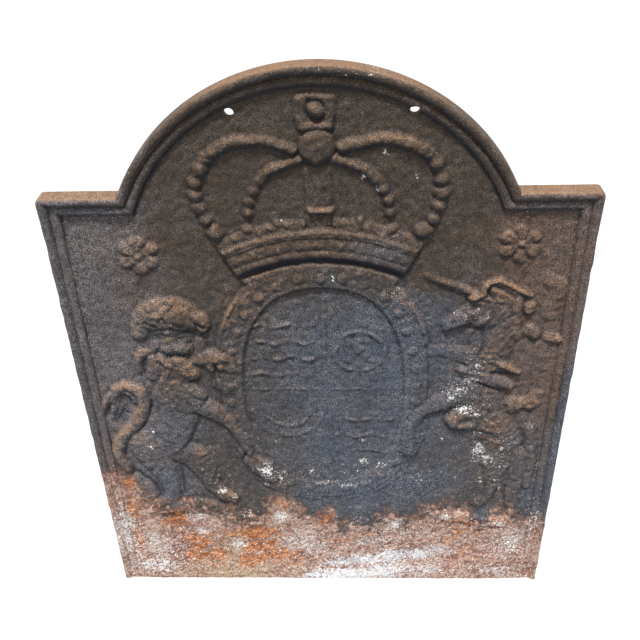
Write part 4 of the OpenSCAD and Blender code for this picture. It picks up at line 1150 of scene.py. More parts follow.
patinaShares = {
    "blueMiddle": (58.0, 122.0),  # x and half width of the blued middle
    "limeSpots": 0.85,
    "limeStreaks": 0.50,
    "limeLow": 0.32,
    "limeMiddle": 0.14,
    "blueRight": 0.35,
    "blueLower": 0.20,
    "bloomRight": 0.25,
    "bloomOffBlue": 0.6,
    "ruddyLower": 0.45,
    "wornBlur": 4.0,  # how wide the surroundings are against which a point counts as raised
    "worn": (0.45, 0.05, 2.0),  # for each mm above them, for each mm above the field, and from this height
    "hollowBlur": 2.4,
    "hollow": (1.1, 0.05, 0.35),  # painted shade: for each mm below them, less this, and the share where the surface faces up
    "sootBlur": 0.7,
    "circletLine": (206.2, 3.4),  # radius and half width of the painted shadow under the circlet
    "mouldingShadow": (22.6, 1.7, 0.15, 0.8),  # the painted shadow inside the edge: place, half width, strength, more at the top
}
patchy = bandNoise(21, 26, 8)
mottled = bandNoise(22, 12, 4)


def spots(name):
    # soft spots, strength * exp(-(x/w)^2 - (z/h)^2), the strongest at each point
    out = np.zeros(gridX.shape)
    for x, z, halfX, halfZ, strength in patina[name]:
        out = np.maximum(out, strength * np.exp(-(((gridX - x) / halfX) ** 2 + ((gridZ - z) / halfZ) ** 2)))
    return out


def zone(name, value):
    # smooth step of a value over the zone
    return ease(*zones[name], value)


def patches(value, speckle, size):
    # a patina broken up by speckle of a size, kept from 0 to 1
    return np.clip(value + size * speckle, 0, 1)


share = patinaShares
blueSpots, paleStreaks = spots("blueSpots"), spots("paleStreaks")
lime = share["limeSpots"] * spots("whiteSpots") + share["limeStreaks"] * paleStreaks
lime = lime + share["limeLow"] * zone("limeLow", gridZ) + share["limeMiddle"] * zone("limeMiddle", gridZ)
rustLine = np.interp(gridX, *zip(*patina["rustTop"])) + 7 * bandNoise(23, 90, 24)
rust = zone("rust", gridZ - rustLine) + 0.12 * patchy * zone("rustPatchy", gridZ - rustLine)
edgeStrip = insideOutline(gridX, gridZ)
blueX, blueHalf = share["blueMiddle"]
blue = np.exp(-(((gridX - blueX) / blueHalf) ** 2))
blue = blue * zone("blueTop", gridZ + 22 * bandNoise(24, 160, 50)) * zone("blueFoot", gridZ)
blue = np.maximum(blue * zone("blueEdge", edgeStrip), blueSpots)
blue = blue + share["blueRight"] * zone("blueRight", gridX) * zone("blueRightTop", gridZ)
blue = blue + share["blueLower"] * zone("blueLower", gridZ) * zone("blueLowerEdge", edgeStrip)
bloom = zone("bloomLeft", gridX + 16 * bandNoise(25, 120, 40)) * zone("bloomFoot", gridZ)
bloom = bloom + share["bloomRight"] * zone("bloomRight", gridX) * zone("bloomRightFoot", gridZ)
bloom = patches(bloom, mottled * zone("bloomMottled", gridX), 0.10) * (1 - share["bloomOffBlue"] * blueSpots)
ruddy = zone("ruddyRight", gridX + 20 * bandNoise(26, 90, 30)) * zone("ruddyFoot", gridZ) * zone("ruddyTop", gridZ)
ruddy = ruddy * (1 - zone("ruddyStripEdge", gridX) * zone("ruddyStripTop", gridZ))
ruddy = ruddy * (share["ruddyLower"] + (1 - share["ruddyLower"]) * zone("ruddyLower", gridZ))
perBump, perHeight, fromHeight = share["worn"]
worn = perBump * (surface - blur(surface, share["wornBlur"])) + perHeight * (surface - fromHeight)
# painted shade: dark where the surface lies below its surroundings, most where it faces down, and in the cut lines
# above the foot
perDip, lessDip, upShare = share["hollow"]
hollow = np.clip(perDip * (blur(surface, share["hollowBlur"]) - surface) - lessDip, 0, 1)
hollow = hollow * (upShare + (1 - upShare) * zone("facingDown", blur(slopeZ, 1.0)))
hollow = np.maximum(hollow, blur(grooveShade, share["sootBlur"]) * zone("sootAbove", gridZ))
# painted shadow under the circlet's lower edge
lineR, lineHalf = share["circletLine"]
hollow = np.maximum(hollow, np.exp(-(((crownR - lineR) / lineHalf) ** 4)) * zone("circletEnd", crownEnd))
# painted shadow along the inner foot of the edge moulding
linePlace, lineHalf, lineLeast, lineMore = share["mouldingShadow"]
mouldingShadow = np.exp(-(((edgeStrip - linePlace) / lineHalf) ** 2))
hollow = np.maximum(hollow, mouldingShadow * (lineLeast + lineMore * zone("mouldingTop", gridZ)))
maps = {
    "worn": np.clip(worn, 0, 1),
    "hollow": hollow,
    "blue": patches(blue, patchy, 0.10),
    "bloom": bloom,
    "ruddy": np.clip(ruddy, 0, 1),
    "warm": patches(spots("warmSpots"), patchy, 0.10),
    "rust": np.clip(rust, 0, 1),
    "orange": patches(spots("orangePatches"), patchy, 0.16),
    "paleness": patches(paleStreaks, patchy, 0.14),
    "lime": patches(lime, mottled, 0.10),
}
print("patina laid out")

# aged iron

ironLooks = {
    "iron": {"dark": (0.017, 0.0135, 0.011), "light": (0.088, 0.065, 0.047), "roughness": 0.66},
    "edge_iron": {"dark": (0.018, 0.0145, 0.012), "light": (0.094, 0.068, 0.048), "roughness": 0.64},
    "blue_iron": {"dark": (0.016, 0.0135, 0.012), "light": (0.085, 0.065, 0.050), "roughness": 0.64},
    "rust_iron": {"dark": (0.018, 0.0145, 0.012), "light": (0.094, 0.068, 0.050), "roughness": 0.74},
}
ironTones = {
    # tan of rubbed wear and of the painted highlight on faces turned up
    "tanDeep": (0.145, 0.078, 0.044),
    "tanPale": (0.360, 0.218, 0.125),
    "blueDark": (0.016, 0.021, 0.032),
    "blueLight": (0.122, 0.144, 0.188),
    "bloomPale": (0.245, 0.228, 0.262),
    "ruddyBrown": (0.225, 0.142, 0.110),
    "shade": (0.008, 0.010, 0.017),
    "burntDark": (0.215, 0.090, 0.058),
    "burntPale": (0.500, 0.350, 0.290),
    "burntGrey": (0.520, 0.560, 0.650),
    "scaleBrown": (0.120, 0.060, 0.044),
    "rustDeep": (0.250, 0.078, 0.030),
    "rustBright": (0.640, 0.250, 0.080),
    "gold": (0.470, 0.345, 0.208),
    "limeColour": (0.780, 0.770, 0.755),
    "speckPale": (0.490, 0.450, 0.410),
}
ironGrains = {  # noise: scale over a metre, detail, roughness
    "grain": (760.0, 2.0, 0.7),
    "mottle": (130.0, 5.0, 0.7),
    "cloud": (14.0, 4.0, 0.55),
    "patch": (46.0, 5.0, 0.72),
    "crumb": (340.0, 3.0, 0.7),
    "flake": (120.0, 5.0, 0.75),
    "drift": (22.0, 4.0, 0.6),
    "lime": (460.0, 3.0, 0.75),
    "sand": (1050.0, 1.0, 0.6),
    "sparse": (26.0, 3.0, 0.6),
}
ironSteps = {  # smooth steps: from, to, and what they give there where it isn't 0 and 1
    "scale": (0.36, 0.66),
    "blued": (0.39, 0.62),
    "blueCloud": (0.25, 0.65, 0.6, 1.0),
    "ruddy": (0.42, 0.60, 0.05, 0.65),
    "bloom": (0.42, 0.64, 0.04, 0.70),
    "tan": (0.42, 0.62),
    # painted highlight on faces turned up, with the tan wear on raised warm spots
    "tanUp": (0.10, 0.60, 0.0, 0.20),
    "warmUp": (-0.35, 0.25),
    "warmWorn": (0.0, 0.25, 0.35, 1.0),
    "tanGrain": (0.38, 0.60, 0.25, 0.95),
    "tanTop": (0.72, 0.95, 0.0, 0.85),
    # painted shade on faces turned down
    "shadedDown": (-0.12, -0.60, 0.0, 0.8),
    "burnt": (0.43, 0.57),
    "gold": (0.40, 0.56, 0.15, 0.9),
    "grey": (0.12, 0.75),
    "greyFlake": (0.40, 0.52, 0.15, 1.0),
    "rustTone": (0.44, 0.57),
    "orange": (0.28, 0.72, 0.0, 0.92),
    "burntPits": (0.44, 0.34, 0.0, 0.75),
    "scaleBrown": (0.10, 0.50, 0.0, 0.85),
    "foot": (0.34, 0.92),
    "lime": (0.68, 0.98, 0.0, 0.95),
    "sand": (0.585, 0.725),
    "sparse": (0.40, 0.60, 0.20, 0.9),
    "sandZone": (0.1, 0.7, 0.35, 1.0),
}
ironFinish = {
    "fine": (0.78, 0.22),  # shares of grain and mottle in the fine scale
    "flakes": (0.45, 0.55),  # shares of flake and crumb in the burnt scale
    "drift": 0.26,  # from here on: how far each noise swings round zero
    "orangePatch": 2.2,
    "orangeCrumb": 1.1,
    "rustMottle": 1.2,
    "rustFlake": 1.2,
    "limeGrain": 3.2,
    "limeMottle": 1.0,
    "roughSpan": (0.3, 0.7, 0.12),  # the fine scale's span, and how far it moves the roughness either way
    "rustRough": 0.12,
    "metallic": 0.1,
    "specular": 0.22,
    "bump": {"Strength": 0.55, "Distance": 0.0022},
}


def mix(factor, first, second):
    # first * (1 - factor) + second * factor, for colours; the factor's own node tree takes the new node
    colours = [value if isinstance(value, bpy.types.NodeSocket) else (*value, 1) for value in (first, second)]
    return node(factor.id_data, "Mix", {0: factor, 6: colours[0], 7: colours[1]}, data_type="RGBA").outputs[2]


def compute(operation, first, *others):
    # the same sum with each of the others in turn
    for other in others:
        first = node(first.id_data, "Math", {0: first, 1: other}, operation=operation).outputs[0]
    return first


def times(first, *others):
    # the product of them all
    return compute("MULTIPLY", first, *others)


def mixed(first, second, shares):
    # first and second, each multiplied by its share, added up
    return compute("ADD", times(first, shares[0]), times(second, shares[1]))


def stirred(value, *swings):
    # value + (noise - 0.5) * size, for each noise and its size
    for noise, size in swings:
        value = compute("ADD", value, times(compute("SUBTRACT", noise, 0.5), size))
    return value


def smoothStep(value, low, high, least=0.0, most=1.0):
    # smooth step of a value: least at low, most at high
    spans = {"Value": value, "From Min": low, "From Max": high, "To Min": least, "To Max": most}
    return node(value.id_data, "MapRange", spans, interpolation_type="SMOOTHSTEP").outputs["Result"]


def stepped(name, value):
    # the smooth step of that name
    return smoothStep(value, *ironSteps[name])


def agedIron(slotName):
    # cast iron under soot: mottled dark scale, tan rubbed edges and a painted highlight on faces turned up, painted
    # shade on faces turned down and in hollows, rust and lime low down, pale specks and fine pits
    look, tone, finish = ironLooks[slotName], ironTones, ironFinish
    material = bpy.data.materials.new("aged_" + slotName)
    material.use_nodes = True
    tree = material.node_tree
    shader = tree.nodes["Principled BSDF"]
    place = node(tree, "TexCoord").outputs["Object"]
    noise = {}
    for name, (scale, detail, roughness) in ironGrains.items():
        settings = {"Vector": place, "Scale": scale, "Detail": detail, "Roughness": roughness}
        noise[name] = node(tree, "TexNoise", settings).outputs["Fac"]
    laid = {name: node(tree, "Attribute", attribute_name=name).outputs["Fac"] for name in maps}
    up = node(tree, "SeparateXYZ", {0: node(tree, "NewGeometry").outputs["Normal"]}).outputs["Z"]
    fine = mixed(noise["grain"], noise["mottle"], finish["fine"])
    # brown scale, turning blue-grey in the middle, paler on the left and redder on the right
    colour = mix(stepped("scale", fine), look["dark"], look["light"])
    blued = mix(stepped("blued", fine), tone["blueDark"], tone["blueLight"])
    colour = mix(times(laid["blue"], stepped("blueCloud", noise["cloud"])), colour, blued)
    colour = mix(times(laid["ruddy"], stepped("ruddy", fine)), colour, tone["ruddyBrown"])
    colour = mix(times(laid["bloom"], stepped("bloom", fine)), colour, tone["bloomPale"])
    # tan: painted highlight where the surface faces up, and rubbed wear on warm spots that are raised and face up;
    # dark: painted shade where it faces down or lies deep
    tan = mix(stepped("tan", fine), tone["tanDeep"], tone["tanPale"])
    rubbedAndLit = times(laid["warm"], stepped("warmUp", up), stepped("warmWorn", laid["worn"]))
    rubbedAndLit = times(compute("ADD", stepped("tanUp", up), rubbedAndLit), stepped("tanGrain", fine))
    colour = mix(compute("MAXIMUM", rubbedAndLit, stepped("tanTop", up)), colour, tan)
    colour = mix(compute("MAXIMUM", laid["hollow"], stepped("shadedDown", up)), colour, tone["shade"])
    # burnt foot: reddish scale breaking into pale and grey, with orange rust
    flakes = mixed(noise["flake"], noise["crumb"], finish["flakes"])
    drifted = stirred(flakes, (noise["drift"], finish["drift"]))
    foot = mix(stepped("burnt", drifted), tone["burntDark"], tone["burntPale"])
    foot = mix(times(laid["warm"], stepped("gold", flakes)), foot, tone["gold"])
    foot = mix(times(stepped("grey", laid["paleness"]), stepped("greyFlake", flakes)), foot, tone["burntGrey"])
    rustTone = mix(stepped("rustTone", flakes), tone["rustDeep"], tone["rustBright"])
    swings = (noise["patch"], finish["orangePatch"]), (noise["crumb"], finish["orangeCrumb"])
    foot = mix(stepped("orange", stirred(laid["orange"], *swings)), foot, rustTone)
    foot = mix(stepped("burntPits", noise["grain"]), foot, tone["shade"])
    rusty = stirred(laid["rust"], (noise["mottle"], finish["rustMottle"]), (flakes, finish["rustFlake"]))
    colour = mix(stepped("scaleBrown", rusty), colour, tone["scaleBrown"])
    colour = mix(stepped("foot", rusty), colour, foot)
    # lime in fine broken flecks, and pale sand grains
    limy = stirred(laid["lime"], (noise["lime"], finish["limeGrain"]), (noise["mottle"], finish["limeMottle"]))
    colour = mix(stepped("lime", limy), colour, tone["limeColour"])
    speck = times(stepped("sand", noise["sand"]), stepped("sparse", noise["sparse"]))
    speck = times(speck, stepped("sandZone", compute("ADD", laid["blue"], laid["bloom"])))
    colour = mix(speck, colour, tone["speckPale"])
    low, high, sway = finish["roughSpan"]
    rough = smoothStep(fine, low, high, look["roughness"] - sway, look["roughness"] + sway)
    tree.links.new(colour, shader.inputs["Base Color"])
    rough = compute("ADD", rough, times(laid["rust"], finish["rustRough"]))
    tree.links.new(rough, shader.inputs["Roughness"])
    shader.inputs["Metallic"].default_value = finish["metallic"]
    shader.inputs["Specular IOR Level"].default_value = finish["specular"]
    bump = node(tree, "Bump", {"Height": fine, **finish["bump"]})
    tree.links.new(bump.outputs["Normal"], shader.inputs["Normal"])
    return material


finishes = {slotName: agedIron(slotName) for slotName in ironLooks}
slots = {part["node"]: part["material_slot"] for part in frame["record"]["subparts"]}
print("finishes made")


def pieceName(nodeName):
    # the node's words run together, each after the first with a capital
    first, *rest = nodeName.split("_")
    return first + "".join(word.capitalize() for word in rest)


def addPiece(nodeName, points, faces, normals, values):
    # puts the arrays into a mesh: points in millimetres, faces as lists of rows
    # each point has a normal, if any are given, and its patina values
    mesh = bpy.data.meshes.new(pieceName(nodeName))
    mesh.vertices.add(len(points))
    mesh.vertices.foreach_set("co", (points / 1000).astype(np.float32).ravel())
    counts = np.concatenate([np.full(len(block), block.shape[1]) for block in faces])
    corners = np.concatenate([block.ravel() for block in faces])
    mesh.loops.add(len(corners))
    mesh.loops.foreach_set("vertex_index", corners.astype(np.int32))
    mesh.polygons.add(len(counts))
    mesh.polygons.foreach_set("loop_start", np.concatenate([[0], np.cumsum(counts)[:-1]]).astype(np.int32))
    mesh.update(calc_edges=True)
    mesh.validate()
    mesh.shade_smooth()
    for name, value in values.items():
        mesh.attributes.new(name, "FLOAT", "POINT").data.foreach_set("value", value.astype(np.float32))
    if normals is not None:
        mesh.normals_split_custom_set_from_vertices(normals.tolist())
    slotName = slots[nodeName]
    mesh.materials.append(finishes[slotName])
    piece = addToScene(mesh.name, mesh)
    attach(piece, "root")
    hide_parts(nodeName)


def patinaAt(x, z):
    # every patina map between its grid points
    return {name: sample(value, x, z) for name, value in maps.items()}


def joinCorners(cells):
    # fills one of the two empty cells wherever full cells meet only at a corner
    for _ in range(4):
        a, b, c, d = cells[:-1, :-1], cells[:-1, 1:], cells[1:, :-1], cells[1:, 1:]
        first, second = a & d & ~b & ~c, b & c & ~a & ~d
        cells[:-1, 1:] |= first
        cells[:-1, :-1] |= second
    return cells


def around(cells):
    # the four cells that meet at each grid point, with empty ones past the border
    padded = np.pad(cells, 1)
    return np.stack([padded[:-1, :-1], padded[1:, :-1], padded[:-1, 1:], padded[1:, 1:]])


def numbered(cells):
    # which grid points the cells use, those points' running numbers, and the four of each cell in turn
    used = around(cells).any(0)
    number = np.full(used.shape, -1)
    number[used] = np.arange(used.sum())
    j, i = np.nonzero(cells)
    return used, number, np.stack([number[j, i], number[j, i + 1], number[j + 1, i + 1], number[j + 1, i]], 1)


def openEdges(cells, number):
    # the edges where a full cell meets an empty one, as pairs of points in the order of the cell's corners
    j, i = np.nonzero(cells)
    corners = number[j, i], number[j, i + 1], number[j + 1, i + 1], number[j + 1, i]
    padded = np.pad(cells, 1)
    edges = []
    for k, (dj, di) in enumerate(((-1, 0), (0, 1), (1, 0), (0, -1))):
        bare = ~padded[j + 1 + dj, i + 1 + di]
        edges.append(np.stack([corners[k][bare], corners[(k + 1) % 4][bare]], 1))
    return np.vstack(edges)


def unit(rows):
    # each row scaled to length one
    return rows / np.maximum(np.linalg.norm(rows, axis=1, keepdims=True), 1e-9)


def frontNormals(acrossSlope, upSlope):
    # the normals of a surface that faces the front, from its two slopes
    return unit(np.stack([-acrossSlope, -np.ones(len(acrossSlope)), -upSlope], 1))


relief = {
    "clip": (-3.2, 3.0),  # heights outside this span don't move the border line
    "lineBlur": 0.9,
    "leastSteep": 0.02,
    "shift": 1.6,
    "give": 0.55,  # how far a border point moves at most, along x and along z
    "below": 0.6,
}


def castRelief(nodeName):
    # the surface where this piece is the highest, dipping below it elsewhere, and a floor inside the plate
    # points on the border move onto the line where the piece's own height passes the border's
    own = fields[nodeName]
    line = blur(np.clip(own, *relief["clip"]), relief["lineBlur"]) - casting["border"]
    middle = (line[:-1, :-1] + line[1:, :-1] + line[:-1, 1:] + line[1:, 1:]) / 4
    cells = joinCorners(middle > 0)
    used, number, top = numbered(cells)
    edge = used & ~around(cells).all(0)
    lineZ, lineX = np.gradient(line, sculpt["step"])
    steep = np.maximum(lineX**2 + lineZ**2, relief["leastSteep"])
    shift = np.clip(line / steep, -relief["shift"], relief["shift"])
    x, z = (grid - np.where(edge, np.clip(shift * slope, -relief["give"], relief["give"]), 0)
            for grid, slope in ((gridX, lineX), (gridZ, lineZ)))
    z = np.clip(z, 0, outline["height"])
    height = surface - casting["dip"] * (covering - np.clip(own, casting["border"] - relief["below"], None))
    height = np.maximum(height, casting["floor"] + casting["thinnest"])
    x, z, height = x[used], z[used], height[used]
    count = len(x)
    front = np.stack([x, outline["field"] - height, z], 1)
    back = np.stack([x, np.full(count, outline["field"] - casting["floor"]), z], 1)
    first, second = openEdges(cells, number).T
    sides = np.stack([second, first, first + count, second + count], 1)
    normal = frontNormals(slopeX[used], slopeZ[used])
    values = {name: np.concatenate([value, value]) for name, value in patinaAt(x, z).items()}
    faces = [top, top[:, ::-1] + count, sides]
    addPiece(nodeName, np.vstack([front, back]), faces, np.vstack([normal, -normal]), values)
    return len(top)


castCells = {name: castRelief(name) for name in fields}
largest = max(castCells, key=castCells.get)
print("relief cast,", sum(castCells.values()), "cells, the largest", largest, castCells[largest])

# the plate

plate = {
    "rows": 336,
    "columns": (96, 38, 7),  # over half the arch, a shoulder and its rounded corner
    "holes": [(-86.0, 697.23), (100.0, 697.23)],
    "holeRadius": 5.5,
    "opening": 0.35,  # cells up to this far outside a hole are opened, and their rim is drawn onto the circle
    "dipMost": 3.0,
    "edgeLevel": 4.0,  # the surface's waves fade over this distance inside the edge
    "covered": (0, 3, 22.5, 20.5),  # the strip that the edge moulding covers: where it begins and ends
    "coveredDip": 0.8,
    "walls": [  # each ring: the side it is measured from, how far behind that, inset, share of the back's normal
        ("field", 0.4, 0.0, 0.0),
        ("back", -1.2, 0.0, 0.15),
        ("back", -0.35, 0.35, 0.7),
        ("back", 0.0, 1.1, 1.0),
    ],
    "cornerRoom": 0.45,  # less is rounded off beside the sharp lower corners: this share of the distance to them
    "backDepth": 0.5,
    "backFoot": (190.0, 10.0),
    "backValues": {"blue": 0.25, "ruddy": 0.15, "orange": 0.12, "lime": 0.12},
}
footX = math.sqrt(outline["archRadius"] ** 2 - (outline["shoulder"] - outline["archZ"]) ** 2)


def outlineTop(x):
    # height of the outline above each x: the arch in the middle, the level shoulders, and their rounded corners
    reach = np.abs(x)
    arch = outline["archZ"] + np.sqrt(np.maximum(outline["archRadius"] ** 2 - reach**2, 0))
    corner = outline["corner"]
    beyond = np.clip(reach - (outline["halfWidth"] - corner), 0, corner)
    shoulder = outline["shoulder"] - corner + np.sqrt(np.maximum(corner**2 - beyond**2, 0))
    return np.where(reach <= footX + 1e-6, np.maximum(arch, outline["shoulder"]), shoulder)


def rimLoop(opened, number):
    # the points round an opened patch of cells, in the order in which its border runs, clockwise seen from the front
    following = {second: first for first, second in openEdges(opened, number).tolist()}
    loop = [next(iter(following))]
    while following[loop[-1]] != loop[0]:
        loop.append(following[loop[-1]])
    return np.array(loop)


def plateColumns():
    # where the columns stand, closer together round the rounded corners
    archCount, shoulderCount, cornerCount = plate["columns"]
    start = outline["halfWidth"] - outline["corner"]
    corner = start + outline["corner"] * np.sin(np.linspace(0, np.pi / 2, cornerCount))
    shoulder = np.linspace(footX, start, shoulderCount)
    right = np.concatenate([np.linspace(0, footX, archCount), shoulder[1:], corner[1:]])
    return np.concatenate([-right[:0:-1], right])


def plateFront():
    # columns run straight up from the standing edge to the outline
    # holes are opened and their rims spread evenly on circles
    x = plateColumns()
    z = np.linspace(0, 1, plate["rows"])[:, None] * outlineTop(x)[None, :]
    x = np.broadcast_to(x, z.shape).copy()
    cells = np.ones((z.shape[0] - 1, z.shape[1] - 1), bool)
    middleX = (x[:-1, :-1] + x[1:, 1:]) / 2
    middleZ = (z[:-1, :-1] + z[1:, :-1] + z[:-1, 1:] + z[1:, 1:]) / 4
    radius = plate["holeRadius"]
    holes = [np.hypot(middleX - holeX, middleZ - holeZ) < radius + plate["opening"] for holeX, holeZ in plate["holes"]]
    for opened in holes:
        cells &= ~opened
    used, number, top = numbered(cells)
    x, z = x[used], z[used]
    loops = [np.concatenate([number[0], number[1:, -1], number[-1, -2::-1], number[-2:0:-1, 0]])]
    for opened, (holeX, holeZ) in zip(holes, plate["holes"]):
        loop = rimLoop(opened, number)
        even = 2 * np.pi * np.arange(len(loop)) / len(loop)
        turned = np.arctan2(z[loop] - holeZ, x[loop] - holeX) + even
        start = np.arctan2(np.sin(turned).mean(), np.cos(turned).mean())
        x[loop], z[loop] = holeX + radius * np.cos(start - even), holeZ + radius * np.sin(start - even)
        loops.append(loop)
    inward = insideOutline(x, z)
    begins, full, ends, fullEnd = plate["covered"]
    under = ease(begins, full, inward) * ease(ends, fullEnd, inward)
    dip = casting["dip"] * np.maximum(sample(highest, x, z) - casting["surroundings"], 0)
    height = sample(surface, x, z) - np.minimum(dip, plate["dipMost"])
    height = height * ease(0, plate["edgeLevel"], inward) - plate["coveredDip"] * under
    front = np.stack([x, outline["field"] - height, z], 1)
    return front, top, loops, frontNormals(sample(slopeX, x, z), sample(slopeZ, x, z))


def wallRings(corner):
    # the rings of one wall from the front to the back, each a little further in, and their normals
    along = np.roll(corner, -1, 0) - np.roll(corner, 1, 0)
    outward = unit(np.stack([along[:, 2], np.zeros(len(corner)), -along[:, 0]], 1))
    room = plate["cornerRoom"] * np.hypot(outline["halfWidth"] - np.abs(corner[:, :1]), corner[:, 2:])
    for side, behind, inset, tilt in plate["walls"]:
        ring = corner - outward * np.minimum(inset, room)
        ring[:, 1] = behind + (outline["back"] if side == "back" else corner[:, 1])
        yield ring, outward * (1 - tilt) + np.array([0, 1, 0]) * tilt


def castPlate():
    # the front, a wall round each of its loops that begins on the loop itself, and a flat back between the last rings
    front, top, loops, normal = plateFront()
    points, faces, rims, normals = [front], [top], [], [normal]
    total = len(front)
    for loop in loops:
        numbers = loop
        for ring, ringNormals in wallRings(front[loop]):
            before, numbers = numbers, total + np.arange(len(loop))
            faces.append(np.stack([np.roll(before, -1), before, numbers, np.roll(numbers, -1)], 1))
            points.append(ring)
            normals.append(ringNormals)
            total += len(loop)
        rims.append(numbers)
    points = np.vstack(points)
    flat = np.concatenate(rims)
    triangles = flat[np.array(tessellate_polygon([list(map(Vector, points[rim])) for rim in rims]))]
    a, b, c = (points[triangles[:, k]] for k in range(3))
    facing = np.cross(b - a, c - a)[:, 1]
    triangles[facing < 0] = triangles[facing < 0][:, ::-1]
    return points, faces + [triangles], np.vstack(normals)


platePoints, plateFaces, plateNormals = castPlate()
plateValues = patinaAt(platePoints[:, 0], platePoints[:, 2])
atBack = platePoints[:, 1] > outline["back"] - plate["backDepth"]
backValues = {**plate["backValues"], "rust": ease(*plate["backFoot"], platePoints[:, 2])}
for name, value in plateValues.items():
    # the back is sooted evenly, with a rusty foot
    plateValues[name] = np.where(atBack, backValues.get(name, 0), value)
addPiece("back_plate", platePoints, plateFaces, plateNormals, plateValues)
print("plate cast,", sum(len(block) for block in plateFaces), "faces")

# edge moulding

moulding = {
    "roll": {"inset": 0.0, "width": 12.0, "rise": 10.0, "power": 2.1, "skew": 1.55},
    "bead": {"inset": 10.0, "width": 12.0, "rise": 5.8, "power": 2.2, "skew": 1.0},
    "sunk": 2.2,
    "undercut": 0.3,
    "spacing": 1.2,
    "points": 24,
    "wornSides": (556.0, 604.0, 0.72),  # below the shoulders the side strips are worn down to this share
    "liftedAbove": 0.3,  # the share of the rise at which the waves are full
    "waves": (0.28, 0.14),
    "worn": 0.5,
    "highest": 10.0,
    "holeGap": 0.25,
    "crest": (0.25, 1.0),  # shares of the rise
    "inner": (0.35, 0.7),  # shares of the width
    "crestWorn": 0.30,
    "crestSoot": 1.5,
    "archSoot": (0.5, 560, 640),  # painted shade on the arch's bead, and between which heights it begins
    "sideSoot": 0.25,
    "strips": [  # start of the name, kind, side, length
        ("left_", "side", -1, 600), ("right_", "side", 1, 600), ("left_shoulder_", "shoulder", -1, 88),
        ("right_shoulder_", "shoulder", 1, 88), ("arch_", "arch", 1, 530),
    ],
}


def profile(shape):
    # across the strip: rise * (1 - |t|^p)^(1/p) with its crest drawn outwards, between two short sunk walls
    t = np.linspace(-1, 1, moulding["points"])
    height = shape["rise"] * np.maximum(1 - np.abs(t) ** shape["power"], 0) ** (1 / shape["power"])
    across = shape["inset"] + shape["width"] * ((t + 1) / 2) ** shape["skew"]
    foot = shape["inset"] + moulding["undercut"], shape["inset"] + shape["width"] - moulding["undercut"]
    return np.array([foot[0], *across, foot[1]]), np.array([-moulding["sunk"], *height, -moulding["sunk"]])


def stripPlace(kind, side, s, a):
    # where share s along the strip and distance a inside the outline lie
    # strips meet at mitres, and what lies outside the rounded corner's centre turns round it
    foot = np.sqrt((outline["archRadius"] - a) ** 2 - (outline["shoulder"] - a - outline["archZ"]) ** 2)
    start, level = outline["halfWidth"] - outline["corner"], outline["shoulder"] - outline["corner"]
    radius = np.maximum(outline["corner"] - a, 1e-6)
    outside = a < outline["corner"]
    if kind == "arch":
        reach = np.arctan2(foot, outline["shoulder"] - a - outline["archZ"])
        angle = reach * (2 * s - 1)
        r = outline["archRadius"] - a
        return r * np.sin(angle), outline["archZ"] + r * np.cos(angle)
    if kind == "side":
        z = s * (outline["shoulder"] - a)
        turn = np.clip((z - level) / radius, 0, 1) * np.pi / 4
        x = np.where(outside, start + radius * np.cos(turn), outline["halfWidth"] - a)
        return side * x, np.where(outside & (turn > 0), level + radius * np.sin(turn), z)
    x = foot + s * (outline["halfWidth"] - a - foot)
    turn = np.clip((x - start) / radius, 0, 1) * np.pi / 4
    z = np.where(outside, level + radius * np.cos(turn), outline["shoulder"] - a)
    return side * np.where(outside & (turn > 0), start + radius * np.sin(turn), x), z


def clearHoles(x, z):
    # a drilled hole cuts the strip: what lies in it moves out to its rim
    for holeX, holeZ in plate["holes"]:
        away = np.hypot(x - holeX, z - holeZ)
        limit = plate["holeRadius"] + moulding["holeGap"]
        push = np.where(away < limit, limit / np.maximum(away, 0.05), 1)
        x, z = holeX + (x - holeX) * push, holeZ + (z - holeZ) * push
    return x, z


rollNoise = bandNoise(31, 90, 24)
fineNoise = bandNoise(32, 16, 5)


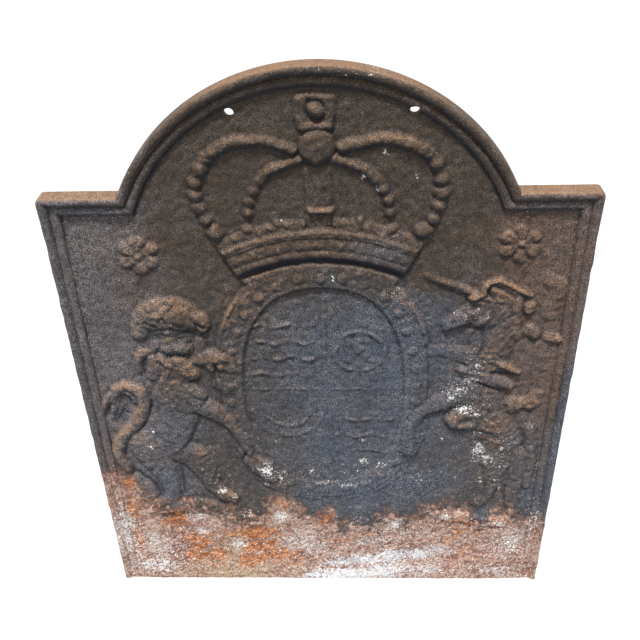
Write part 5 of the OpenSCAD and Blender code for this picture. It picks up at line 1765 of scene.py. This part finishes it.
def castStrip(nodeName, kind, side, shape, length):
    # the profile drawn along the strip's place, worn and slightly wavy, with a cap at either end
    across, height = profile(shape)
    sections = int(length / moulding["spacing"]) + 2
    s = np.linspace(0, 1, sections)[:, None]
    a = np.broadcast_to(across[None, :], (sections, len(across)))
    x, z = stripPlace(kind, side, s, a)
    archBead = kind == "arch" and shape["inset"] > 0
    if archBead:
        x, z = clearHoles(x, z)
    lifted = ease(0, moulding["liftedAbove"] * shape["rise"], height)[None, :]
    h = np.broadcast_to(height[None, :], x.shape)
    if kind == "side":
        low, high, share = moulding["wornSides"]
        h = np.where(h > 0, h * (share + (1 - share) * ease(low, high, z)), h)
    coarse, small = moulding["waves"]
    waves = coarse * sample(rollNoise, x, z) + small * sample(fineNoise, x, z)
    h = np.minimum(h + lifted * (waves - moulding["worn"]), moulding["highest"])
    points = np.stack([x, outline["field"] - h, z], 2).reshape(-1, 3)
    number = np.arange(len(points)).reshape(sections, -1)
    a0, a1 = number[:-1], number[1:]
    quads = np.stack([a0, a1, np.roll(a1, -1, 1), np.roll(a0, -1, 1)], 2).reshape(-1, 4)
    caps = [number[0][None, :], number[-1][None, ::-1]]
    first, second, third = (points[quads[:, k]] for k in range(3))
    facing = np.cross(second - first, third - first)[:, 1]
    if (facing * (points[quads].mean(1)[:, 1] - outline["field"])).sum() < 0:
        quads, caps = quads[:, ::-1], [cap[:, ::-1] for cap in caps]
    # painted shade on each strip's inner flank below its crest, more on the arch's bead, less on the side strips
    crest = ease(*moulding["crest"], h.reshape(-1) / shape["rise"])
    inner = ease(*moulding["inner"], (a.reshape(-1) - shape["inset"]) / shape["width"])
    beadShadeShare, beadShadeFrom, beadShadeFull = moulding["archSoot"]
    beadShade = (beadShadeShare if archBead else 0.0) * ease(beadShadeFrom, beadShadeFull, points[:, 2])
    hollow = np.maximum(np.clip(1.0 - moulding["crestSoot"] * crest, 0, 1), beadShade) * inner
    values = patinaAt(points[:, 0], points[:, 2])
    values["worn"] = moulding["crestWorn"] * crest
    values["hollow"] = hollow * (moulding["sideSoot"] if kind == "side" else 1.0)
    addPiece(nodeName, points, [quads] + caps, None, values)


for start, kind, side, length in moulding["strips"]:
    for form in ("roll", "bead"):
        castStrip(start + form, kind, side, moulding[form], length)
print("edge moulding run")
